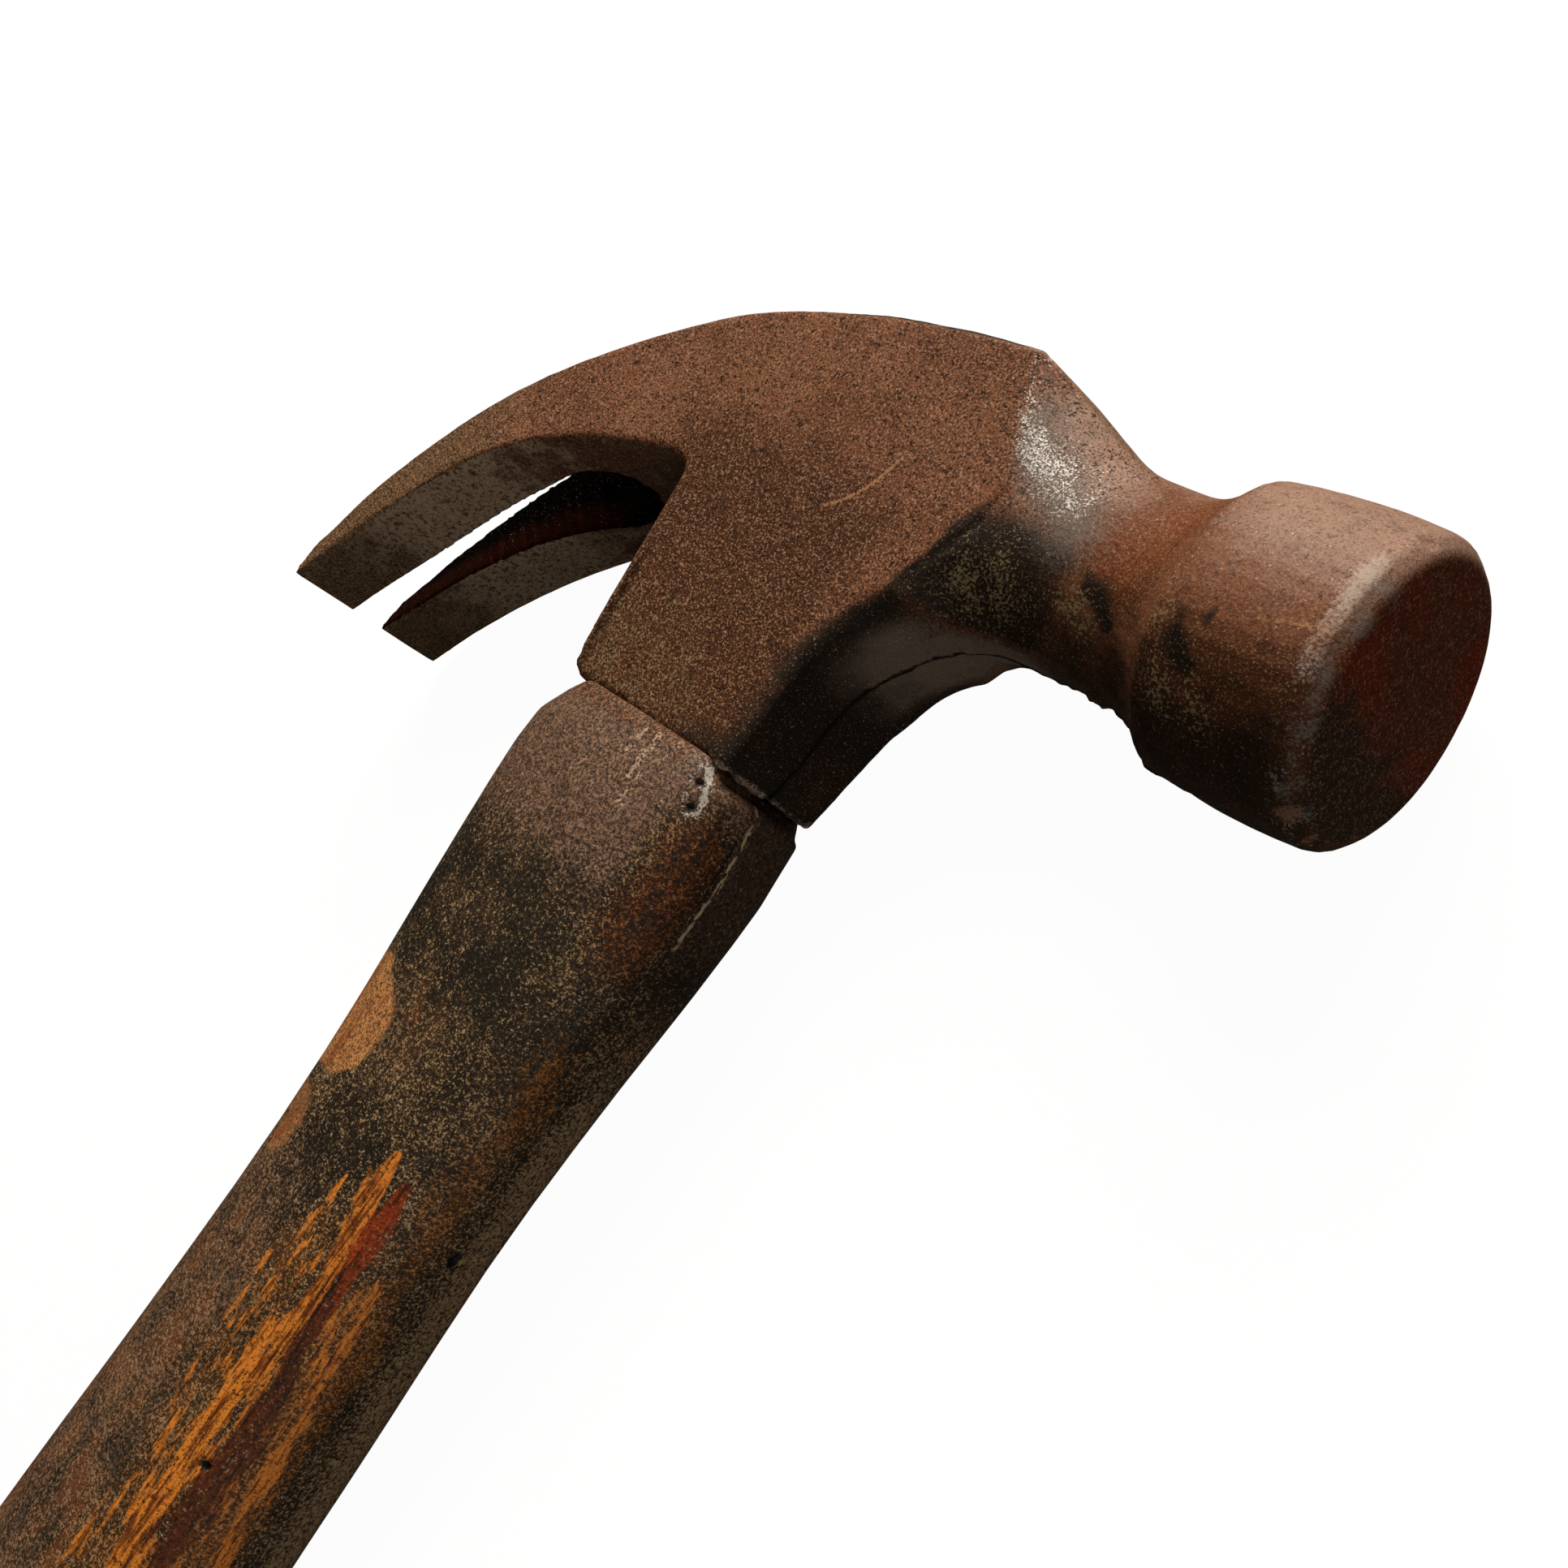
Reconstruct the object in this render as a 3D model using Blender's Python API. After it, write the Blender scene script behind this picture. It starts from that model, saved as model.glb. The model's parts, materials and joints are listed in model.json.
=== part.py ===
"""A claw hammer: a forged steel head on a wooden handle, held by a wooden wedge and two steel ones.

Every piece is drawn in the head's own frame, in millimetres: x runs to the striking face, y up the
handle to the top of the head, z out through the upper cheek, and the origin is where the axis of the
handle crosses the axis of the bell. An empty then lays the hammer on its side, with the bottom centre
of its box at the world origin.
"""

import math

import bmesh
import bpy
import numpy as np

MM = 0.001
FIT = 0.3  # clearance left wherever two pieces meet
CUT_PAST = 4.0  # how far a cutter runs on past the skin it cuts

# Bell and striking face, all turned about the x axis
FACE_X = 64.4
FACE_RADIUS = 12.1
RIM_X = 62.4
RIM_RADIUS = 14.0
BELL_RADIUS = 14.3
BELL_SHOULDER_X = 48.0
BELL_SHOULDER_RADIUS = 13.8
NECK_X = 40.0
NECK_RADIUS = 10.4
NECK_ROOT = 6.0  # how deep the foot of the neck is let into the cheeks
FLARE_HASTE = (1.25, 0.75, 5.0)  # how fast the cheek closes in on the neck: everywhere, at the sides, below
FLARE_TOP_END = 0.75

# Claw seen from the side: its inner curve is an arc, and its back and tip stand off that arc by a wall
INNER_CENTRE = (-9.2, -61.4)
INNER_RADIUS = 53.3
INNER_STRAIGHTENS_DEG = 138.0  # from here to the tip the inner curve lies ever further off the arc
INNER_END_DEG = 161.4
INNER_END_LIFT = 2.7
CLAW_TIP_DEG = 161.9
CLAW_TIP_WALL = 2.9
CLAW_TIP_FLAT = 1.0
CLAW_TIP_THINS = 8.0
CLAW_BACK_DEG = (157.4, 143.9, 124.2, 100.4)
CLAW_BACK_WALL = (4.9, 6.5, 9.0, 16.7)
ROOT_X = -14.4
ROOT_FILLET = 2.4

# Top of the head
CROWN_OF_HEAD = (-3.0, 12.9)
HEAD_TOP_Y = 14.7
HEAD_TOP_DIP = 0.2
HEAD_TOP_X = 11.0
TOP_CORNER_X = 20.8

# Front of the cheek, the hollow under the neck, and the socket round the handle
NOSE = (26.2, 1.8)
UNDER_NECK = (24.2, -12.0)
THROAT = (15.6, -22.0)
THROAT_SAG = 1.0
LIP_DROP = 34.6
LIP_REAR_X = -11.9
LIP_FRONT_X = 13.9
CROWN_DEPTH = 3.6
CROWN_Y = -11.5
CROWN_REACH = 10.5

# Thickness: the flat cheeks lean in toward the lip, the claw spreads and then draws in to its tips
CHEEK_HALF = 11.0
CHEEK_LEAN = 0.075
CLAW_FROM_X = -12.0
CLAW_WIDEST_X = -42.0
CLAW_WIDEST_HALF = 13.5
CLAW_TIP_HALF = 12.6
EDGE_BREAK = 0.7

# Eye through the head, wider at the top so that the wedges lock the tenon
EYE_X = 1.3
EYE_TOP = (12.0, 8.8)
EYE_LIP = (10.3, 6.5)
EYE_SQUARENESS = 3.0
TENON_TOP_Y = 12.2
TENON_TOP_SLOPE = 0.10

# Nail slot between the two prongs of the claw
SLOT_MOUTH_HALF = 2.1
SLOT_BACK_HALF = 3.7
SLOT_BACK_AT = 0.38
SLOT_SCOOP_HALF = 6.0
SLOT_SCOOP_AT = 0.83
SLOT_ROOT_HALF = 0.5
SLOT_FLOOR_HALF = 0.25
SLOT_REACH_DEG = 56.0
CLAW_WALL_LEAST = 2.0

# Handle: height on the axis, half width front to back, half thickness, squareness of the section
SHOULDER = (-34.9, 13.3, 9.2, 4.2)
SHOULDER_EDGE = (-38.0, 15.7, 10.2, 3.7)
SHOULDER_FULL = (-44.5, 16.7, 10.7, 3.2)
WAIST = (-90.0, 14.2, 10.8, 2.5)
SWELL = (-118.0, 14.9, 11.3, 2.4)
GRIP = (-215.0, 17.2, 13.2, 2.3)
HEEL = (-284.0, 16.4, 12.8, 2.3)
BUTT = (-313.0, 17.8, 13.8, 2.3)
AXIS_DRIFT = 0.6
BUTT_Y = -315.0
BUTT_EDGE = 1.6

# Wedges in the end of the tenon
KERF_DEPTH = 31.0
KERF_TOP_HALF = 1.9
KERF_FOOT_HALF = 0.9
STEEL_DEPTH = 14.0
STEEL_TOP_HALF = 1.3
STEEL_FOOT_HALF = 0.5
STEEL_HALF_LENGTH = 6.6
STEEL_FRONT_X = 7.2
STEEL_REAR_X = -4.6
WEDGE_FOOT_GAP = 2.0
WEDGE_END_GAP = 2.2
WEDGE_SUNK = 0.2
STEEL_PROUD = 0.3

ROUND = 48
BELL_RINGS = 12
FLARE_RINGS = 9
ARC_STEPS = 26
SLOT_RINGS = 32
HANDLE_RINGS = 30


def clear_scene():
    for obj in list(bpy.data.objects):
        bpy.data.objects.remove(obj)


def new_collection(name):
    made = bpy.data.collections.new(name)
    bpy.context.scene.collection.children.link(made)
    return made


def new_object(name, collection, verts, faces):
    """A closed mesh from points in millimetres, its faces turned outward."""
    mesh = bpy.data.meshes.new(name)
    mesh.from_pydata([tuple(float(v) * MM for v in p) for p in verts], [], faces)
    shape = bmesh.new()
    shape.from_mesh(mesh)
    bmesh.ops.recalc_face_normals(shape, faces=shape.faces)
    shape.to_mesh(mesh)
    shape.free()
    obj = bpy.data.objects.new(name, mesh)
    collection.objects.link(obj)
    return obj


def loft(name, collection, rings):
    """A skin over a row of rings with equal counts of points, closed at both ends."""
    count = len(rings[0])
    verts = [p for ring in rings for p in ring]
    faces = []
    for r in range(len(rings) - 1):
        for i in range(count):
            j = (i + 1) % count
            faces.append((r * count + i, r * count + j, (r + 1) * count + j, (r + 1) * count + i))
    faces.append(tuple(range(count)))
    faces.append(tuple((len(rings) - 1) * count + i for i in range(count)))
    return new_object(name, collection, verts, faces)


def hide(obj):
    obj.hide_render = True
    obj.display_type = "WIRE"
    return obj


def boolean(obj, other, operation):
    made = obj.modifiers.new(operation.lower() + "_" + other.name, "BOOLEAN")
    made.operation = operation
    made.solver = "EXACT"
    made.object = other


def smooth(obj, degrees):
    obj.data.polygons.foreach_set("use_smooth", [True] * len(obj.data.polygons))
    obj.data.set_sharp_from_angle(angle=math.radians(degrees))


def paint(obj, name, colour, metallic, roughness):
    made = bpy.data.materials.new(name)
    made.use_nodes = True
    shader = made.node_tree.nodes["Principled BSDF"]
    shader.inputs["Base Color"].default_value = (*colour, 1.0)
    shader.inputs["Metallic"].default_value = metallic
    shader.inputs["Roughness"].default_value = roughness
    obj.data.materials.append(made)


def bowed(start, end, sag, steps):
    """Points from one place to another along a line that bows to its left by the sag."""
    a = np.array(start)
    b = np.array(end)
    along = b - a
    left = np.array((-along[1], along[0])) / np.hypot(*along)
    share = np.linspace(0.0, 1.0, steps)
    return [tuple(a + along * s + left * 4.0 * sag * s * (1.0 - s)) for s in share]


def oval(half_x, half_z, squareness, count):
    """One ring of a superellipse as (x, z), a plain ellipse at squareness 2."""
    power = 2.0 / squareness
    ring = []
    for t in np.linspace(0.0, 2.0 * math.pi, count, endpoint=False):
        c = math.cos(t)
        s = math.sin(t)
        x = half_x * math.copysign(abs(c) ** power, c)
        z = half_z * math.copysign(abs(s) ** power, s)
        ring.append((x, z))
    return ring


def through(points, steps):
    """A smooth line through the points, with even steps between each two."""
    pts = np.array(points)
    before = np.vstack([2 * pts[0] - pts[1], pts, 2 * pts[-1] - pts[-2]])
    line = []
    for k in range(len(pts) - 1):
        a, b, c, d = before[k : k + 4]
        for t in np.linspace(0.0, 1.0, steps, endpoint=False):
            bend = (2 * a - 5 * b + 4 * c - d) * t**2 + (3 * b - a - 3 * c + d) * t**3
            line.append(tuple(b + 0.5 * ((c - a) * t + bend)))
    return line + [tuple(pts[-1])]


def ease(share):
    held = np.clip(share, 0.0, 1.0)
    return held * held * (3.0 - 2.0 * held)


def off_arc(degrees, wall):
    """The place that stands a wall's thickness off the claw's inner curve, at an angle round it."""
    turn = math.radians(degrees)
    reach = INNER_RADIUS + wall
    return (INNER_CENTRE[0] + reach * math.cos(turn), INNER_CENTRE[1] + reach * math.sin(turn))


def inner_lift(degrees):
    """How far the inner curve of the claw lies off its arc, at an angle round it."""
    share = (degrees - INNER_STRAIGHTENS_DEG) / (INNER_END_DEG - INNER_STRAIGHTENS_DEG)
    return INNER_END_LIFT * max(0.0, share) ** 2


def claw_tip():
    return off_arc(CLAW_TIP_DEG, CLAW_TIP_WALL)


def back_line():
    """The back of the claw and the top of the head, from the tip forward."""
    claw = [off_arc(*place) for place in zip(CLAW_BACK_DEG, CLAW_BACK_WALL)]
    return through(claw + [CROWN_OF_HEAD, (HEAD_TOP_X, HEAD_TOP_Y - HEAD_TOP_DIP)], 6)


def root_of_claw():
    """Where the fillet between the claw and the socket starts, and the angle where it ends on the arc."""
    turn = math.acos((ROOT_X - ROOT_FILLET - INNER_CENTRE[0]) / INNER_RADIUS)
    height = INNER_CENTRE[1] + INNER_RADIUS * math.sin(turn)
    return (ROOT_X, height - 0.8 * ROOT_FILLET), turn


def front_outline():
    """The front of the head at its middle plane, from the top corner down to the lip."""
    ridge = bowed((TOP_CORNER_X, HEAD_TOP_Y), NOSE, 0.5, 8)
    chin = bowed(NOSE, UNDER_NECK, 0.0, 8)
    throat = bowed(UNDER_NECK, THROAT, -THROAT_SAG, 9)
    collar = bowed(THROAT, (LIP_FRONT_X, -LIP_DROP), 0.0, 5)
    return ridge + chin[1:] + throat[1:] + collar[1:]


def side_outline():
    """The outline of claw, cheek and socket from the side, starting at the tip of the claw."""
    x, y = claw_tip()
    tip = [(x, y), (x - 0.4 * CLAW_TIP_FLAT, y + CLAW_TIP_FLAT)]
    root, turn = root_of_claw()
    inner = [off_arc(d, inner_lift(d)) for d in np.linspace(math.degrees(turn), INNER_END_DEG, ARC_STEPS)]
    hollow = (root[0] - 0.25 * ROOT_FILLET, inner[0][1] - 0.25 * ROOT_FILLET)
    fillet = through((root, hollow, inner[0]), 3)
    collar = bowed((LIP_REAR_X, -LIP_DROP), root, 0.0, 7)[:-1]
    return tip + back_line() + front_outline() + collar + fillet[:-1] + inner


def crown(y):
    """How much further forward the hollow under the neck stands at its middle than at its edges."""
    return CROWN_DEPTH * 0.5 * (1.0 + math.cos(math.pi * min(1.0, abs(y - CROWN_Y) / CROWN_REACH)))


def drawn_in(outline, crown_share, break_share):
    """The outline moved inward by its crown and its broken edge, less so where the claw is thin."""
    pts = np.array(outline)
    ahead = np.roll(pts, -1, axis=0) - pts
    behind = pts - np.roll(pts, 1, axis=0)
    ahead /= np.hypot(*ahead.T)[:, None]
    behind /= np.hypot(*behind.T)[:, None]
    tangent = ahead + behind
    tangent /= np.hypot(*tangent.T)[:, None]
    inward = np.stack([tangent[:, 1], -tangent[:, 0]], axis=1)
    from_tip = np.hypot(*(pts - np.array(claw_tip())).T)
    distance = break_share * EDGE_BREAK * np.clip(from_tip / CLAW_TIP_THINS, 0.15, 1.0)
    crowns = np.array([crown(p[1]) if p[0] > THROAT[0] - EDGE_BREAK else 0.0 for p in pts])
    moved = pts + inward * distance[:, None]
    moved[:, 0] -= crown_share * crowns
    return moved


def half_thickness(x, y):
    """Half the thickness of the head at a place on its side."""
    cheek = CHEEK_HALF + CHEEK_LEAN * y
    if x > CLAW_FROM_X:
        return cheek
    spread = float(ease((CLAW_FROM_X - x) / (CLAW_FROM_X - CLAW_WIDEST_X)))
    drawn = float(ease((CLAW_WIDEST_X - x) / (CLAW_WIDEST_X - claw_tip()[0])))
    held = CHEEK_HALF + CHEEK_LEAN * max(y, root_of_claw()[0][1])
    return held + (CLAW_WIDEST_HALF - held) * spread + (CLAW_TIP_HALF - CLAW_WIDEST_HALF) * drawn


def split(shape, place, normal):
    """Adds a line of points round a mesh where a plane passes through it."""
    everything = shape.verts[:] + shape.edges[:] + shape.faces[:]
    bmesh.ops.bisect_plane(shape, geom=everything, plane_co=place, plane_no=normal)


def make_cheeks(collection):
    """Claw, cheeks and socket as one plate one millimetre to a side thick, then spread to its thickness."""
    full = side_outline()
    edge = 1.0 - EDGE_BREAK / CHEEK_HALF
    levels = ((1.0, 1.0, 1.0), (edge, 0.8, 0.0), (0.7, 0.4, 0.0), (0.35, 0.08, 0.0))
    rings = []
    for share, crown_share, break_share in levels:
        rings.append([(p[0], p[1], -share) for p in drawn_in(full, crown_share, break_share)])
    rings += [[(x, y, -z) for x, y, z in ring] for ring in reversed(rings)]
    obj = loft("head", collection, rings)
    shape = bmesh.new()
    shape.from_mesh(obj.data)
    for x in np.linspace(CLAW_FROM_X, claw_tip()[0], 9)[:-1]:
        split(shape, (x * MM, 0.0, 0.0), (1, 0, 0))
    split(shape, (0.0, root_of_claw()[0][1] * MM, 0.0), (0, 1, 0))
    for vert in shape.verts:
        vert.co.z *= half_thickness(vert.co.x / MM, vert.co.y / MM)
    shape.to_mesh(obj.data)
    shape.free()
    return obj


def front_x(y):
    """How far forward the middle of the head reaches at a height."""
    outline = sorted((p[1], p[0]) for p in front_outline())
    return float(np.interp(y, [p[0] for p in outline], [p[1] for p in outline]))


def cheek_ring():
    """The edge of the cheek block that the neck grows from, as a ring of points about the x axis."""
    top = HEAD_TOP_Y - 0.4 * EDGE_BREAK
    bottom = UNDER_NECK[1]
    ring = []
    for t in np.linspace(0.0, 2.0 * math.pi, ROUND, endpoint=False):
        c = math.cos(t)
        s = math.sin(t)
        reach = (CHEEK_HALF - 0.6 * EDGE_BREAK) / max(abs(c) - CHEEK_LEAN * s, 1e-6)
        reach = min(reach, top / s if s > 1e-6 else bottom / min(s, -1e-6))
        y = reach * s
        z = reach * c
        ring.append((front_x(y) - crown(y) * (z / (CHEEK_HALF + CHEEK_LEAN * y)) ** 2, y, z))
    return np.array(ring)


def round_ring(x, radius):
    turn = np.linspace(0.0, 2.0 * math.pi, ROUND, endpoint=False)
    return np.stack([np.full(ROUND, x), radius * np.sin(turn), radius * np.cos(turn)], axis=1)


def bell_profile():
    """Radius along the neck and bell, from the middle of the neck to the edge of the striking face."""
    profile = []
    for s in np.linspace(0.0, 1.0, BELL_RINGS)[1:]:
        x = NECK_X + (BELL_SHOULDER_X - NECK_X) * s
        profile.append((x, NECK_RADIUS + (BELL_SHOULDER_RADIUS - NECK_RADIUS) * s**2.2))
    for s in np.linspace(0.0, 1.0, 7)[1:]:
        x = BELL_SHOULDER_X + (RIM_X - BELL_SHOULDER_X) * s
        straight = BELL_SHOULDER_RADIUS + (RIM_RADIUS - BELL_SHOULDER_RADIUS) * s
        swell = BELL_RADIUS - 0.5 * (BELL_SHOULDER_RADIUS + RIM_RADIUS)
        profile.append((x, straight + swell * 4.0 * s * (1.0 - s)))
    profile.append((RIM_X + 0.35 * (FACE_X - RIM_X), RIM_RADIUS - 0.12 * (RIM_RADIUS - FACE_RADIUS)))
    profile.append((FACE_X - 0.15 * (FACE_X - RIM_X), FACE_RADIUS + 0.35 * (RIM_RADIUS - FACE_RADIUS)))
    profile.append((FACE_X, FACE_RADIUS))
    return profile


def flare_narrowing(s):
    """How far each point of the cheek's edge has closed in on the neck, a share s of the way forward.

    Underneath it closes in at once, at the sides and corners more slowly, and over the top it rolls
    off in a long curve.
    """
    turn = np.linspace(0.0, 2.0 * math.pi, ROUND, endpoint=False)
    below = np.clip(-np.sin(turn), 0.0, 1.0)
    always, sideways, downward = FLARE_HASTE
    haste = always + sideways * np.cos(turn) ** 2 + downward * below
    hollow = 1.0 - (1.0 - s) ** haste
    on_top = ease((np.sin(turn) - 0.7) / 0.25)
    return hollow + (ease(s / FLARE_TOP_END) - hollow) * on_top


def make_neck_and_bell(collection):
    """The neck grows out of the cheek block, turns round, and swells into the bell."""
    edge = cheek_ring()
    throat = round_ring(NECK_X, NECK_RADIUS)
    rings = [edge * np.array((1.0, 0.88, 0.88)) - np.array((NECK_ROOT, 0.0, 0.0))]
    start = edge + np.array((0.4 * EDGE_BREAK, 0.0, 0.0))
    for s in np.linspace(0.0, 1.0, FLARE_RINGS + 1)[:-1]:
        ring = start + (throat - start) * s
        narrowing = flare_narrowing(s)
        ring[:, 1:] = start[:, 1:] + (throat[:, 1:] - start[:, 1:]) * narrowing[:, None]
        rings.append(ring)
    rings.append(throat)
    for x, radius in bell_profile():
        rings.append(round_ring(x, radius))
    made = hide(loft("neck_and_bell", collection, rings))
    smooth(made, 32)
    return made


def eye_halves(y):
    """Half length and half thickness of the eye at a height."""
    share = (y + LIP_DROP) / (HEAD_TOP_Y + LIP_DROP)
    return tuple(low + (high - low) * share for low, high in zip(EYE_LIP, EYE_TOP))


def eye_ring(y, gap):
    half_x, half_z = eye_halves(y)
    return [(EYE_X + x, y, z) for x, z in oval(half_x - gap, half_z - gap, EYE_SQUARENESS, ROUND)]


def make_eye_cutter(collection):
    heights = np.linspace(-LIP_DROP - CUT_PAST, HEAD_TOP_Y + CUT_PAST, 6)
    return hide(loft("eye_cutter", collection, [eye_ring(y, 0.0) for y in heights]))


def slot_halves(share):
    """Half the gap between the prongs, on the back of the claw and on its inner side, from tip to root."""
    if share < SLOT_BACK_AT:
        opened = 1.0 - (1.0 - share / SLOT_BACK_AT) ** 2
        back = SLOT_MOUTH_HALF + (SLOT_BACK_HALF - SLOT_MOUTH_HALF) * opened
    else:
        closed = (share - SLOT_BACK_AT) / (1.0 - SLOT_BACK_AT)
        back = SLOT_ROOT_HALF + (SLOT_BACK_HALF - SLOT_ROOT_HALF) * (1.0 - closed**1.2)
    if share < SLOT_SCOOP_AT:
        opened = (share / SLOT_SCOOP_AT) ** 2.4
        inner = SLOT_MOUTH_HALF + (SLOT_SCOOP_HALF - SLOT_MOUTH_HALF) * opened
    else:
        closed = (share - SLOT_SCOOP_AT) / (1.0 - SLOT_SCOOP_AT)
        inner = SLOT_ROOT_HALF + (SLOT_SCOOP_HALF - SLOT_ROOT_HALF) * math.sqrt(max(0.0, 1.0 - closed**2))
    return back, inner


def wall_from(place, way):
    """How thick the claw is from a place on its inner curve, going straight out to its back."""
    line = np.array(back_line()) - place
    forward = line @ way
    across = line @ np.array((-way[1], way[0]))
    return float(np.interp(0.0, across[::-1], forward[::-1]))


def make_slot_cutter(collection):
    """The nail slot: narrow on the back of the claw, scooped wide on the inner side."""
    tip_angle = math.radians(CLAW_TIP_DEG) + CUT_PAST / INNER_RADIUS
    root_angle = tip_angle - math.radians(SLOT_REACH_DEG)
    rings = []
    for share in np.linspace(0.0, 1.0, SLOT_RINGS):
        turn = tip_angle + (root_angle - tip_angle) * share
        out = np.array((math.cos(turn), math.sin(turn)))
        inner_at = np.array(INNER_CENTRE) + INNER_RADIUS * out
        wall = max(wall_from(inner_at, out), CLAW_WALL_LEAST)
        back_half, inner_half = slot_halves(share)
        slope = (inner_half - back_half) / wall
        near = inner_at - CUT_PAST * out
        far = inner_at + (wall + CUT_PAST) * out
        near_half = inner_half + CUT_PAST * slope
        far_half = max(back_half - CUT_PAST * slope, SLOT_FLOOR_HALF)
        rings.append([(*near, near_half), (*far, far_half), (*far, -far_half), (*near, -near_half)])
    return hide(loft("slot_cutter", collection, rings))


def make_head(parts, cutters):
    head = make_cheeks(parts)
    boolean(head, make_neck_and_bell(cutters), "UNION")
    boolean(head, make_eye_cutter(cutters), "DIFFERENCE")
    boolean(head, make_slot_cutter(cutters), "DIFFERENCE")
    smooth(head, 32)
    paint(head, "browned_steel", (0.16, 0.075, 0.045), 0.6, 0.62)
    return head


def handle_sections():
    """Half width, half thickness and squareness of the handle at even steps down its length."""
    marks = (SHOULDER, SHOULDER_EDGE, SHOULDER_FULL, WAIST, SWELL, GRIP, HEEL, BUTT)
    heights = np.array([m[0] for m in marks])
    slopes = []
    for column in (1, 2, 3):
        values = np.array([m[column] for m in marks])
        steps = np.diff(values) / np.diff(heights)
        product = steps[1:] * steps[:-1]
        total = np.where(product > 0, steps[1:] + steps[:-1], 1.0)
        inner = np.where(product > 0, 2 * product / total, 0.0)
        slopes.append((values, np.concatenate([steps[:1], inner, [0.0]])))
    spread = np.linspace(0.0, 1.0, HANDLE_RINGS) ** 1.5
    sections = []
    for y in heights[0] + (heights[-1] - heights[0]) * spread:
        k = int(np.clip(np.searchsorted(-heights, -y) - 1, 0, len(marks) - 2))
        span = heights[k + 1] - heights[k]
        t = (y - heights[k]) / span
        row = [y]
        for values, slope in slopes:
            value = values[k] * (1 + 2 * t) * (1 - t) ** 2 + values[k + 1] * t * t * (3 - 2 * t)
            value += span * (slope[k] * t * (1 - t) ** 2 - slope[k + 1] * t * t * (1 - t))
            row.append(value)
        sections.append(row)
    return sections


def handle_ring(y, half_x, half_z, squareness):
    """A ring of the handle, eased forward under the lip to meet the socket and again down the grip."""
    under_lip = EYE_X * (1.0 - ease((SHOULDER[0] - y) / 5.0))
    drift = AXIS_DRIFT * ease((SHOULDER_FULL[0] - y) / (SHOULDER_FULL[0] - SWELL[0]))
    return [(under_lip + drift + x, y, z) for x, z in oval(half_x, half_z, squareness, ROUND)]


def tenon_end_y(x, drop):
    return TENON_TOP_Y + TENON_TOP_SLOPE * (x - EYE_X) - drop


def make_handle(parts, cutters):
    """The handle with its tenon, from the sawn end in the eye down to the butt."""
    rings = [[(p[0], tenon_end_y(p[0], 0.0), p[2]) for p in eye_ring(TENON_TOP_Y, FIT)]]
    for y in np.linspace(TENON_TOP_Y - 6.0, -LIP_DROP, 5):
        rings.append(eye_ring(y, FIT))
    rings.append(eye_ring(SHOULDER[0], FIT))
    for section in handle_sections():
        rings.append(handle_ring(*section))
    half_x, half_z, squareness = BUTT[1:]
    rings.append(handle_ring(BUTT_Y, half_x - BUTT_EDGE, half_z - BUTT_EDGE, squareness))
    handle = loft("handle", parts, rings)
    boolean(handle, make_kerf_cutter(cutters), "DIFFERENCE")
    for obj in make_slit_cutters(cutters):
        boolean(handle, obj, "DIFFERENCE")
    smooth(handle, 35)
    paint(handle, "dark_wood", (0.09, 0.05, 0.03), 0.0, 0.6)
    return handle


def wedge_rings(centre_x, half_x, half_z, top, foot_y, foot_half_x, foot_half_z):
    """A four-sided wedge with its point down; top gives the height at each x of its upper end."""
    corners = ((1, 1), (1, -1), (-1, -1), (-1, 1))
    upper = [(centre_x + sx * half_x, half_z * sz) for sx, sz in corners]
    lower = [(centre_x + sx * foot_half_x, foot_half_z * sz) for sx, sz in corners]
    return [[(x, top(x), z) for x, z in upper], [(x, foot_y, z) for x, z in lower]]


def kerf_half(y, grow):
    share = (y - (TENON_TOP_Y - KERF_DEPTH)) / KERF_DEPTH
    return KERF_FOOT_HALF + (KERF_TOP_HALF - KERF_FOOT_HALF) * share + grow


def make_kerf_cutter(cutters):
    """The saw kerf along the tenon, cut right through it from front to back."""
    long_enough = EYE_TOP[0] + CUT_PAST
    top_y = TENON_TOP_Y + CUT_PAST
    foot_y = TENON_TOP_Y - KERF_DEPTH
    rings = wedge_rings(EYE_X, long_enough, kerf_half(top_y, FIT), lambda x: top_y, foot_y - FIT,
                        long_enough, kerf_half(foot_y, FIT))
    return hide(loft("kerf_cutter", cutters, rings))


def steel_half(y, grow):
    share = (y - (TENON_TOP_Y - STEEL_DEPTH)) / STEEL_DEPTH
    return STEEL_FOOT_HALF + (STEEL_TOP_HALF - STEEL_FOOT_HALF) * share + grow


def make_slit_cutters(cutters):
    """The two slits across the kerf that the steel wedges split open."""
    top_y = TENON_TOP_Y + CUT_PAST
    foot_y = TENON_TOP_Y - STEEL_DEPTH
    made = []
    for name, x in (("slit_front", STEEL_FRONT_X), ("slit_rear", STEEL_REAR_X)):
        rings = wedge_rings(x, steel_half(top_y, FIT), STEEL_HALF_LENGTH + FIT, lambda x: top_y,
                            foot_y - FIT, steel_half(foot_y, FIT), STEEL_HALF_LENGTH + FIT)
        made.append(hide(loft(name, cutters, rings)))
    return made


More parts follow.
